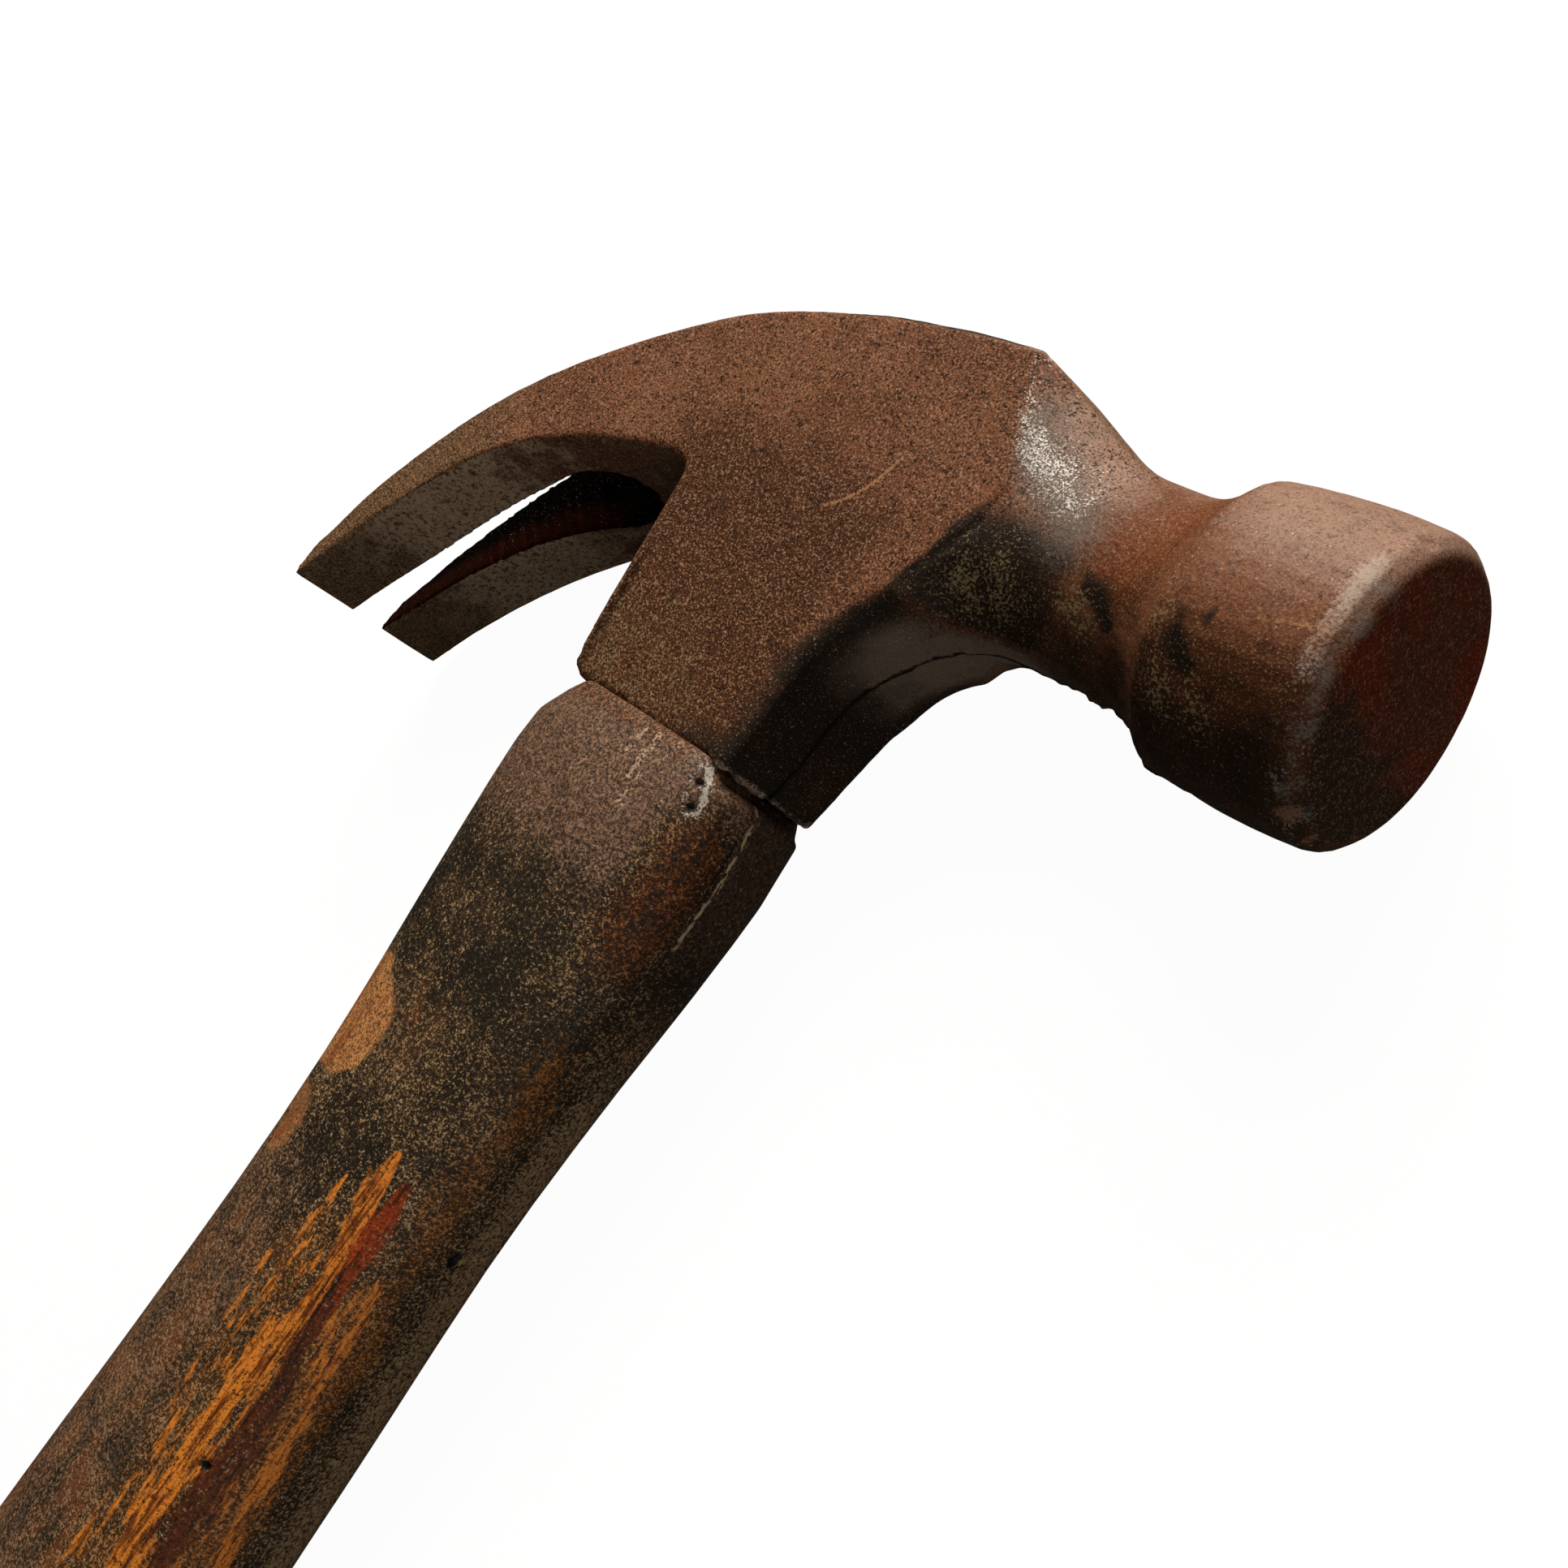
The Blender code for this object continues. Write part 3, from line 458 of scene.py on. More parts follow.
class Wires:
    """The nodes of one material."""

    def __init__(self, name):
        self.material = bpy.data.materials.new(name)
        self.material.use_nodes = True
        self.tree = self.material.node_tree
        self.into = self.tree.nodes["Principled BSDF"].inputs

    def plug(self, socket, value):
        if isinstance(value, bpy.types.NodeSocket):
            self.tree.links.new(value, socket)
        else:
            socket.default_value = value

    def place(self):
        return self.tree.nodes.new("ShaderNodeTexCoord").outputs["Object"]

    def mask(self, name):
        made = self.tree.nodes.new("ShaderNodeAttribute")
        made.attribute_name = name
        return made.outputs["Fac"]

    def grain(self, size, detail=4.0, roughness=0.6, moved=0.0):
        """Noise in lumps of this size in millimetres, one number or one for each axis."""
        sizes = size if isinstance(size, tuple) else (size, size, size)
        scaled = self.tree.nodes.new("ShaderNodeMapping")
        scaled.inputs["Scale"].default_value = [1.0 / (s * MM) for s in sizes]
        scaled.inputs["Location"].default_value = (moved, moved, moved)
        self.plug(scaled.inputs["Vector"], self.place())
        made = self.tree.nodes.new("ShaderNodeTexNoise")
        made.inputs["Scale"].default_value = 1.0
        made.inputs["Detail"].default_value = detail
        made.inputs["Roughness"].default_value = roughness
        self.plug(made.inputs["Vector"], scaled.outputs["Vector"])
        return made.outputs["Fac"]

    def sums(self, operation, first, second=0.0):
        made = self.tree.nodes.new("ShaderNodeMath")
        made.operation = operation
        self.plug(made.inputs[0], first)
        self.plug(made.inputs[1], second)
        return made.outputs[0]

    def plus(self, first, second):
        return self.sums("ADD", first, second)

    def minus(self, first, second):
        return self.sums("SUBTRACT", first, second)

    def times(self, first, second):
        return self.sums("MULTIPLY", first, second)

    def mixed(self, first, first_share, second, second_share):
        return self.plus(self.times(first, first_share), self.times(second, second_share))

    def step(self, value, low, high, least=0.0, most=1.0):
        made = self.tree.nodes.new("ShaderNodeMapRange")
        made.interpolation_type = "SMOOTHSTEP"
        self.plug(made.inputs["Value"], value)
        made.inputs["From Min"].default_value = low
        made.inputs["From Max"].default_value = high
        made.inputs["To Min"].default_value = least
        made.inputs["To Max"].default_value = most
        return made.outputs["Result"]

    def shaken(self, speckle, amount):
        """A grain swung about nought, this much from end to end."""
        return self.times(self.minus(speckle, 0.5), amount)

    def broken(self, name, speckle, amount, low, high, most=1.0):
        """A mask that a grain swings by this amount, then eased from 0 at low to the most at high."""
        return self.step(self.plus(self.mask(name), self.shaken(speckle, amount)), low, high, 0.0, most)


print("wires ready")

# %% [markdown]
# The second half deals in colour and surface. A finish keeps its colour so far, and each layer covers it
# with another colour: by a share, or as a stain where a mask is. Bumps catch the light without moving the
# mesh, and a thin line can wander along a piece where a mask allows it. Colours are written as 0 to 255,
# the way a paint chart has them, and turned into the linear numbers that nodes want.

# %% A class that paints


def linear(value):
    share = value / 255
    return share / 12.92 if share < 0.04045 else ((share + 0.055) / 1.055) ** 2.4


def tint(red, green, blue):
    return (linear(red), linear(green), linear(blue), 1.0)


class Finish(Wires):
    """A material painted in layers."""

    colour = tint(128, 128, 128)  # until a ground is laid

    def blend(self, under, over, share):
        made = self.tree.nodes.new("ShaderNodeMix")
        made.data_type = "RGBA"
        self.plug(made.inputs["Factor"], share)
        self.plug(made.inputs["A"], under)
        self.plug(made.inputs["B"], over)
        return made.outputs["Result"]

    def ground(self, first, second, share):
        """The colour under all layers: one colour that drifts into a second."""
        self.colour = self.blend(first, second, share)

    def cover(self, over, share):
        self.colour = self.blend(self.colour, over, share)

    def stain(self, name, over, speckle, amount, low, high, most=1.0):
        """A layer where a mask is, with its edge broken up by a grain."""
        self.cover(over, self.broken(name, speckle, amount, low, high, most))

    def bumps(self, height, depth_mm, strength, under=None):
        made = self.tree.nodes.new("ShaderNodeBump")
        made.inputs["Strength"].default_value = strength
        made.inputs["Distance"].default_value = depth_mm * MM
        self.plug(made.inputs["Height"], height)
        if under:
            self.plug(made.inputs["Normal"], under)
        return made.outputs["Normal"]

    def thin_line(self, zone, across_mm, width_mm, wander_mm):
        """A ragged line along a piece, this far across from the middle plane, inside a zone's mask."""
        split = self.tree.nodes.new("ShaderNodeSeparateXYZ")
        self.plug(split.inputs["Vector"], self.place())
        sway = self.shaken(self.grain(2.6, 3.0), wander_mm * MM)
        off = self.plus(self.minus(split.outputs["Z"], crossing.z + across_mm * MM), sway)
        line = self.step(self.sums("ABSOLUTE", off), width_mm * MM, 0.4 * width_mm * MM)
        return self.times(line, self.mask(zone))

    def onto(self, *pieces):
        self.plug(self.into["Base Color"], self.colour)
        for piece in pieces:
            piece.data.materials.append(self.material)
        print(self.material.name, "has", len(self.tree.nodes), "nodes")


print("mid grey of the paint chart is", round(linear(128), 3), "to the nodes")

# %% [markdown]
# Browned steel is a thin, matte skin of oxide. Close to, it is grain: dark pits and pale glints half a
# millimetre across or less, over a brown that drifts from place to place. A photograph of rust would be
# the quick way, but noise has no seams and comes in any size. The finish is built up as a painter would
# build it, and the browns come first. The inner side of the claw and the struck face have browns of
# their own, mixed apart and then laid in where their masks are.

# %% Browned steel: the browns
brown = Finish("browned_steel")
drift = brown.grain(14.0, 3.0)
cloud = brown.grain(3.0, 4.0)
speck = brown.grain(0.60, 3.0, 0.7)
brown.ground(tint(122, 74, 45), tint(140, 88, 59), brown.step(drift, 0.40, 0.62))
# Darker umber, and painted shade on the underside of the bell.
brown.stain("umber", tint(84, 45, 18), cloud, 0.8, 0.20, 1.05)
brown.stain("copper", tint(128, 70, 36), cloud, 0.8, 0.25, 0.95)
brown.stain("olive", tint(112, 83, 53), cloud, 0.8, 0.25, 1.10)
# Pink-tan on the tops: partly a dusty film, partly a painted highlight.
brown.stain("rosy", tint(180, 143, 123), cloud, 0.8, 0.20, 1.15)
brown.cover(tint(84, 48, 29), brown.step(cloud, 0.50, 0.74, 0.0, 0.40))

within = brown.blend(tint(92, 60, 37), tint(178, 158, 132), brown.broken("olive", cloud, 2.4, 0.10, 1.00))
within = brown.blend(within, tint(98, 78, 54), brown.broken("claw_tip", cloud, 1.8, 0.20, 1.00))
within = brown.blend(within, tint(72, 58, 42), brown.step(speck, 0.46, 0.62, 0.0, 0.75))
brown.stain("claw_inside", within, cloud, 0.5, 0.30, 0.70)

struck = brown.blend(tint(118, 36, 9), tint(92, 44, 18), brown.step(drift, 0.40, 0.60))
struck = brown.blend(struck, tint(52, 36, 22), brown.broken("low_face", cloud, 1.4, 0.25, 0.90))
brown.cover(struck, brown.mask("face"))
print("browns:", len(brown.tree.nodes), "nodes")

# %% [markdown]
# The grain of the oxide goes over all the browns alike: pale grains, dark grains and larger dark pocks.
# It is strong on the rough cheeks and weaker on the smooth bell and inside the claw.

# %% Browned steel: the grain
sand = brown.grain(0.34, 2.0, 0.8)
dust = brown.grain(0.21, 1.0, 0.6)
grit = brown.mixed(sand, 0.5, dust, 0.5)
rough_skin = brown.sums(
    "MINIMUM",
    brown.step(brown.mask("smooth"), 0.0, 1.0, 1.0, 0.45),
    brown.step(brown.mask("claw_inside"), 0.3, 0.7, 1.0, 0.6),
)
OXIDE_GRAINS = (  # colour, kind of grain, where it starts, where it is full, its share there
    (tint(196, 150, 116), grit, 0.52, 0.62, 0.75),
    (tint(40, 23, 14), grit, 0.48, 0.39, 0.95),
    (tint(30, 17, 11), speck, 0.58, 0.64, 0.95),
)
for paint, kind, low_end, high_end, most in OXIDE_GRAINS:
    brown.cover(paint, brown.times(brown.step(kind, low_end, high_end, 0.0, most), rough_skin))
print("grain:", len(OXIDE_GRAINS), "layers")

# %% [markdown]
# Over the grain go the dark marks and the painted shade. Soot, the painted sheen and grime are dull. The
# khaki bloom is specks with the dark showing between. The walls of the nail slot are painted almost black,
# as painted shade, with a warm painted glow where light from the claw's inner side reaches them.

# %% Browned steel: the dark marks and painted shade
powder = brown.mixed(cloud, 0.45, sand, 0.55)
flour = brown.mixed(sand, 0.80, cloud, 0.20)
# Painted shade in the hollow under the neck, over a dark oxide.
brown.stain("hollow", tint(38, 26, 18), sand, 0.9, 0.15, 0.85, 0.93)
# Painted sheen of light thrown up from below, on the lower side of the hollow.
brown.stain("slate", tint(124, 108, 96), sand, 1.6, 0.10, 1.10, 0.85)
# Soot and stains, and painted shade on the undersides of neck and bell.
brown.stain("soot", tint(25, 20, 13), powder, 1.6, 0.20, 0.85, 0.93)
brown.stain("grime", tint(34, 27, 17), powder, 1.6, 0.25, 0.95, 0.80)
brown.stain("bloom", tint(156, 136, 98), flour, 5.0, 0.80, 1.15, 0.80)
# Painted shade: the walls of the slot are painted near black, with a painted glow of bounced light near the
# claw's inner side.
slot = brown.broken("claw_slot", cloud, 0.5, 0.20, 0.60)
glow = brown.broken("slot_glow", cloud, 0.8, 0.30, 1.10)
brown.cover(brown.blend(tint(10, 4, 2), tint(58, 22, 9), glow), slot)
print("with dark marks:", len(brown.tree.nodes), "nodes")

# %% [markdown]
# Bare steel is bright in the middle of a rub and grey around it, and broken into grains, because only the
# high spots of the surface are rubbed. Those grains, and a few glints elsewhere, are the metal of this
# skin; the rest is oxide and is not metallic. The glints are also painted into the colour as pale specks,
# a painted highlight. The walls of the slot are set as metal too, but only because a dark metal takes up
# no soft light, and that keeps the slot deep.

# %% Browned steel: the bare steel
brown.stain("greyed", tint(124, 113, 104), sand, 1.3, 0.15, 1.05, 0.80)
brown.stain("dull_grey", tint(134, 128, 120), powder, 3.4, 0.50, 1.20, 0.55)
brown.stain("chip", tint(150, 116, 96), sand, 2.0, 0.40, 1.00, 0.60)
steel = brown.broken("rubbed", dust, 3.6, 0.60, 1.40)
brown.cover(tint(214, 210, 205), steel)
# Worn pale steel on the rim, with a painted highlight on its upper part.
brown.stain("rim", tint(198, 174, 158), powder, 3.2, 0.40, 1.15, 0.90)
open_skin = brown.minus(rough_skin, slot)
# Painted highlight: glints are painted as pale specks in the colour.
glint = brown.times(brown.step(dust, 0.62, 0.72, 0.0, 0.40), brown.step(open_skin, 0.35, 1.0))
brown.cover(tint(176, 146, 116), glint)
brown.stain("scratch", tint(190, 138, 96), sand, 2.0, 0.45, 0.90, 0.75)
brown.cover(tint(8, 6, 5), brown.thin_line("die_zone", 0.0, 0.70, 2.4))

bright = brown.sums("MAXIMUM", steel, brown.times(brown.step(dust, 0.72, 0.78), open_skin))
brown.plug(brown.into["Metallic"], brown.sums("MAXIMUM", brown.times(bright, 0.6), slot))
brown.plug(brown.into["Roughness"], brown.step(sand, 0.30, 0.75, 0.66, 0.50))
brown.into["Specular IOR Level"].default_value = 0.22
grainy = brown.bumps(sand, 0.20, 0.5)
brown.plug(brown.into["Normal"], brown.bumps(cloud, 0.30, 0.20, grainy))
brown.onto(forged_head)

# %% [markdown]
# The shoulder of the handle was trimmed to the socket after it was driven on. At the sides it closes
# against the lip; only in front is the gap left open. So the shoulder is lifted to the lip, and let down
# again toward the front. The same pass adds the small harm of a working life: pits from old nail heads, a
# scuff on the shoulder, and the slow unevenness of a handle shaved by hand. Cutting each pit out would
# leave sharp new edges, while moved points keep them soft. A crack runs down the front where the grain
# opened; it is thinner than the mesh is fine, so it is only measured here and painted later.

# %% Work the handle
SHOULDER_LIFT = 0.62
FRONT_DROP = 1.5
PITS = (
    (14.6, -89.9, 0.4, 0.9), (12.8, -36.9, 8.7, 0.7), (13.5, -39.4, 8.5, 0.7), (10.6, -118.0, 9.0, 0.7),
    (-9.0, -150.0, 10.0, 0.9), (6.0, -205.0, 13.0, 0.8), (17.0, -176.0, -3.0, 0.9),
    (-4.0, -256.0, -12.6, 0.9),
)
PIT_DEPTH = 0.75
CRACK = (
    (15.4, -35.4, 1.9), (15.9, -38.0, 1.5), (16.3, -41.0, 1.9), (16.5, -43.6, 2.3), (16.7, -47.5, 1.6),
    (16.3, -51.0, 2.0),
)
SCUFF = ((12.4, -35.6, 8.9), (12.9, -37.4, 8.7), (13.5, -39.4, 8.5))
SCUFF_REACH = 3.0
SCUFF_RING = 0.9  # the wear is a ring this far from the scuff's middle line
SCUFF_RING_HALF = 0.6
SCUFF_DEPTH = 0.2
wood = points_of(wooden_handle)
facing = normals_of(wooden_handle)
x, y, z = wood.T
outside_eye = (np.abs(z) > 6.6) | (x < -9.6) | (x > 12.2)
at_shoulder = ease(-y, 37.4, 34.9) * outside_eye
wood[:, 1] += at_shoulder * (SHOULDER_LIFT - FRONT_DROP * ease(x, 11.8, 13.6))
broad = uneven(wood, (7.0, 30.0, 7.0), 4.4)
shaved = uneven(wood, (2.5, 14.0, 2.5), 9.3)
pit = ease(near_spots(wood, PITS), 0.0, 0.75)
crack = near_line(wood, CRACK, 2.2)
off_scuff = SCUFF_REACH * (1.0 - near_line(pushed(wood, 0.9, 0.5, 6.0), SCUFF, SCUFF_REACH))
scuff_side = x - np.interp(-y, (-SCUFF[0][1], -SCUFF[-1][1]), (SCUFF[0][0], SCUFF[-1][0]))
scuff = ease(1.0 - np.abs(off_scuff - SCUFF_RING) / SCUFF_RING_HALF, 0.0, 0.9)
scuff *= 0.42 + 0.42 * ease(scuff_side, -0.4, 0.5)
lowered = 0.10 * broad + 0.05 * shaved + PIT_DEPTH * pit + SCUFF_DEPTH * ease(scuff, 0, 0.6)
wood -= facing * lowered[:, None]
put_points(wooden_handle, wood)
print("handle worked:", len(PITS), "pits, a crack", round(CRACK[0][1] - CRACK[-1][1], 1), "mm long")

# %% [markdown]
# The handle was dark once, nearly black, and the finish has worn through in long scrapes that follow the
# grain: orange where the wood is bare and oiled by hands, dark red where a stain has sunk in. Angles round
# the handle place the scrapes, 0 at the front and 90 at the upper side. A plain scrape has one width. A
# flame changes its width and wanders, and is given from the top down as height, turn of its middle and
# half its width, both in degrees.

# %% Helpers that place scrapes round the handle
HANDLE_HALF_DEPTH = 15.0
HANDLE_HALF_THICKNESS = 11.0
SCRAPE_FADE = 7.0
x, y, z = wood.T
around = np.degrees(np.arctan2(z / HANDLE_HALF_THICKNESS, x / HANDLE_HALF_DEPTH))
licked = around + 5.0 * uneven(wood, (4.0, 13.0, 4.0), 17.0)


def turn_from(angles, middle):
    """Degrees between these angles and a middle one, the short way round."""
    return np.abs((angles - middle + 180.0) % 360.0 - 180.0)


def scrape(angle, half_angle, top, bottom, lean=0.0):
    """1 along the middle of a scrape between two heights, fading to its sides and ends."""
    share = (top - y) / (top - bottom)
    across = turn_from(around, angle + lean * (share - 0.5)) / half_angle
    ends = np.minimum(share, 1.0 - share) * (top - bottom) / SCRAPE_FADE
    return np.clip(1.0 - across, 0.0, 1.0) * np.clip(ends, 0.0, 1.0)


def flame(middle, points):
    """1 along the middle of a flame, fading to its sides."""
    height, turn, half_angle = (np.array(column)[::-1] for column in zip(*points))
    across = turn_from(licked, np.interp(y, height, turn) + middle)
    wide = np.interp(y, height, half_angle, 0.0, 0.0)
    return np.clip(1.0 - across / np.maximum(wide, 0.01), 0.0, 1.0) * (wide > 0.0)


print("angles round the handle run from", round(float(around.min())), "to", round(float(around.max())))

# %% [markdown]
# On the stretch below the head the scrapes are laid one by one. Further down, slow noise stretched along
# the grain carries them on over the grip, which is worn all round by hands.

# %% Mask the bare and stained wood
UPPER_FLAME = (
    (-83, 3, 2), (-88, 2, 10), (-93, 0, 12), (-98, -1, 10), (-104, 1, 10), (-112, 1, 14), (-124, 0, 15),
    (-140, 0, 8), (-150, 0, 0),
)
FRONT_FLAME = ((-94, 4, 3), (-102, 2, 9), (-116, 0, 11), (-135, -4, 10), (-150, -6, 0))
SIDE_FLAME = ((-88, 0, 2), (-98, 0, 10), (-126, 0, 13), (-150, 0, 0))
MIDDLE_FLAME = ((-92, 0, 4), (-110, 0, 9), (-150, 0, 0))
RED_FLAME = ((-85, 1, 2), (-90, 1, 8), (-100, 0, 9), (-112, 0, 8), (-126, -2, 12), (-150, -2, 0))
grip = ease(-y, 124.0, 170.0)
bare = np.maximum.reduce([
    1.15 * flame(54.0, UPPER_FLAME),
    0.85 * flame(27.0, FRONT_FLAME),
    0.46 * flame(70.0, SIDE_FLAME),
    0.5 * flame(36.0, MIDDLE_FLAME),
    0.7 * scrape(-40.0, 14.0, -90.0, -150.0),
    0.7 * scrape(200.0, 20.0, -80.0, -160.0),
    0.85 * grip * ease(uneven(wood, (2.6, 34.0, 2.6), 12.5), -0.05, 0.45),
])
red_stain = np.maximum.reduce([
    1.25 * flame(44.0, RED_FLAME),
    0.7 * scrape(36.0, 12.0, -108.0, -158.0, -4.0),
    0.8 * grip * ease(uneven(wood, (3.0, 40.0, 3.0), 31.0), 0.1, 0.5),
])
rust = np.maximum.reduce([
    1.3 * scrape(28.0, 27.0, -36.0, -61.0),
    0.75 * scrape(24.0, 24.0, -62.0, -106.0),
    1.2 * scrape(30.0, 30.0, -92.0, -170.0),
    0.6 * scrape(62.0, 26.0, -88.0, -150.0),
    0.6 * grip,
])
keep_masks(wooden_handle, bare_wood=bare, red_stain=red_stain, rust=rust, old_rust=ease(y, -66.0, -58.0))
print("bare wood covers", round(100 * float((bare > 0.4).mean())), "% of the handle")

# %% [markdown]
# Between the scrapes the old finish has moods of its own. Just under the head it keeps a band of dusty
# purple grey. Lower down it is pale with dust in one place and deep in another, and bald in a few patches
# toward the back; in front, just below the head, it is painted darker as painted shade. Patches are ovals,
# laid with the same angles and heights as the scrapes.

# %% Mask the moods of the dark finish
lapped = y + 1.6 * uneven(wood, (3.0, 4.0, 3.0), 23.0)


def oval(angle, half_angle, heights, middle, half_height):
    """1 in the middle of an oval, 0 on its edge and less than 0 beyond."""
    return 1.0 - np.hypot((licked - angle) / half_angle, (heights - middle) / half_height)


bald_patch = np.maximum.reduce([
    ease(oval(127.0, 33.0, lapped, -76.8, 7.4), -0.06, 0.20),
    0.62 * ease(oval(126.0, 24.0, y, -90.0, 6.0), 0.0, 0.4),
    0.8 * ease(scrape(250.0, 30.0, -70.0, -96.0), 0.02, 0.35),
])
band = ease(-y, 58.0, 45.0) * (1.0 - 0.9 * ease(rust, 0.1, 0.6))
deep_dark = np.maximum.reduce([
    ease(-y, 46.0, 54.0) * ease(y, -74.0, -62.0) * ease(around, 40.0, 70.0),
    0.5 * ease(oval(86.0, 20.0, lapped, -86.5, 8.0), 0.0, 0.35),
    ease(oval(34.0, 26.0, lapped, -68.0, 9.0), 0.0, 0.6),
])
pale_heights = np.maximum(ease(-y, 92.0, 100.0), 0.6 * ease(np.abs(y + 74.0), 7.0, 2.0))
keep_masks(
    wooden_handle,
    bald_patch=bald_patch,
    dusty_band=np.maximum(band, 0.5 * ease(around, 62.0, 96.0) * ease(-y, 82.0, 94.0)),
    pale_dust=ease(around, 48.0, 84.0) * pale_heights,
    deep_dark=deep_dark,
    low_red=ease(-y, 90.0, 106.0),
    greyed=ease(np.abs(around + 16.0), 34.0, 4.0) * ease(-y, 56.0, 74.0),
    # Painted shade: the front, turning toward the far side, is painted darker just below the head.
    sooty_front=ease(-around, -24.0, 4.0) * ease(around, -120.0, -70.0) * ease(y, -72.0, -48.0),
)

# %% [markdown]
# The small marks come last: the pits, the crack and the scuff that were measured while the handle was
# worked, dirt packed into the joint under the lip, and a few short scratches just below it.

# %% Mask the small marks of the handle
SHOULDER_SCRATCHES = (  # place along x, upper end, lower end
    (3.4, -35.6, -38.6), (5.6, -35.4, -40.6), (8.0, -35.2, -37.4), (-1.0, -38.6, -41.8), (6.8, -39.0, -43.2),
)
scratched = np.zeros(len(wood))
for start, top, bottom in SHOULDER_SCRATCHES:
    line = ((start, top, 9.6), (start + 0.3, bottom, 10.4))
    scratched = np.maximum(scratched, near_line(wood, line, 0.9))
keep_masks(
    wooden_handle,
    pit=pit,
    crack=ease(crack, 0.2, 0.7),
    joint_dirt=ease(y, -37.0, -35.6) * ease(-x, -12.5, -9.0),
    scratch=scratched,
    chip=ease(scuff, 0.0, 0.7),
)

# %% [markdown]
# The worn dark finish of the handle is mostly speckle: a greenish black with dusty khaki grains caught in
# the pores. Where it is pale with dust, larger blotches of soil and of ruddy wood show in it. The band
# under the head is laid over that.

# %% Worn dark wood: the old finish
dark = Finish("worn_dark_wood")
cloud = dark.grain(7.0, 4.0)
speck = dark.grain(0.62, 3.0, 0.7)
sand = dark.grain(0.40, 2.0, 0.8)
dust = dark.grain(0.22, 2.0, 0.8)
grit = dark.mixed(sand, 0.5, dust, 0.5)
pale_dust = dark.mask("pale_dust")
dark.ground(tint(48, 39, 26), tint(66, 50, 34), dark.step(cloud, 0.38, 0.62))
dusty = dark.plus(grit, dark.shaken(cloud, 0.16))
dusty = dark.minus(dusty, dark.times(dark.mask("deep_dark"), 0.035))
dusty = dark.plus(dusty, dark.times(pale_dust, 0.03))
khaki = dark.blend(tint(200, 164, 116), tint(194, 146, 98), pale_dust)
dark.cover(khaki, dark.step(dusty, 0.52, 0.60, 0.0, 0.88))
dark.cover(tint(20, 18, 12), dark.step(dusty, 0.48, 0.41, 0.0, 0.90))
blotch = dark.plus(dark.grain((3.6, 8.0, 3.6), 4.0, 0.65, 3.0), dark.shaken(grit, 0.9))
dark.cover(tint(50, 47, 42), dark.times(dark.step(blotch, 0.53, 0.66, 0.0, 0.80), pale_dust))
dark.cover(tint(128, 72, 36), dark.times(dark.step(blotch, 0.47, 0.35, 0.0, 0.65), pale_dust))
lilac = dark.blend(tint(66, 49, 39), tint(160, 123, 98), dark.step(grit, 0.42, 0.60))
dark.stain("dusty_band", lilac, sand, 1.6, 0.15, 1.05, 0.92)
print("old finish:", len(dark.tree.nodes), "nodes")

# %% [markdown]
# Through the old finish shows what lies under it: rusty stains, bare orange wood and the red stain. The
# grain of wood is noise stretched along the handle. The mask of a scrape is broken by noise stretched four
# times, so it tears into flakes as old varnish does and not into a blur, and it is cut off where the mask
# is nought, so that no flake strays.

# %% Worn dark wood: rust, bare wood and stain
fibre = dark.grain((0.55, 13.0, 0.55), 4.0, 0.65)
fleck = dark.grain((0.55, 2.2, 0.55), 3.0, 0.65)
tear = dark.grain((1.5, 6.5, 1.5), 4.0, 0.68, 5.0)
torn = dark.grain((1.7, 7.5, 1.7), 4.0, 0.68, 11.0)
splinter = dark.mixed(fibre, 0.65, fleck, 0.35)
flaky = dark.mixed(speck, 0.5, torn, 0.5)


def flaked(name, by, amount, low_end, high_end):
    """A mask torn into flakes by a grain, and none where the mask is nought."""
    torn_mask = dark.broken(name, by, amount, low_end, high_end)
    return dark.times(torn_mask, dark.step(dark.mask(name), 0.03, 0.20))


oxide = dark.blend(tint(78, 46, 17), tint(190, 120, 46), dark.step(grit, 0.45, 0.58))
old_oxide = dark.blend(tint(54, 29, 12), tint(160, 88, 32), dark.step(grit, 0.45, 0.60))
old_oxide = dark.blend(old_oxide, tint(38, 24, 15), dark.step(torn, 0.50, 0.62, 0.0, 0.7))
dark.stain("rust", dark.blend(oxide, old_oxide, dark.mask("old_rust")), flaky, 3.4, 0.25, 0.95, 0.85)
# Painted shade on the front just below the head.
dark.stain("sooty_front", tint(34, 27, 19), cloud, 0.8, 0.2, 0.8, 0.70)

orange = dark.blend(tint(244, 146, 50), tint(122, 60, 18), dark.step(splinter, 0.46, 0.58))
flakes = flaked("bare_wood", tear, 3.6, 0.36, 0.72)
dark.cover(orange, flakes)
red = dark.blend(tint(166, 62, 16), tint(104, 46, 16), dark.broken("low_red", torn, 1.2, 0.20, 0.90))
red = dark.blend(red, tint(54, 24, 10), dark.step(splinter, 0.46, 0.58))
sunk = flaked("red_stain", torn, 4.0, 0.44, 0.86)
dark.cover(red, dark.times(sunk, 0.92))
dirt = dark.times(dark.sums("MAXIMUM", flakes, sunk), dark.step(grit, 0.48, 0.42, 0.0, 0.70))
dark.cover(tint(34, 24, 14), dirt)

bald = dark.blend(tint(216, 150, 90), tint(98, 64, 38), dark.step(grit, 0.46, 0.57))
bald = dark.blend(bald, tint(140, 72, 34), dark.step(torn, 0.48, 0.60, 0.0, 0.75))
dark.stain("bald_patch", bald, flaky, 2.4, 0.40, 0.75)
print("with bare wood:", len(dark.tree.nodes), "nodes")
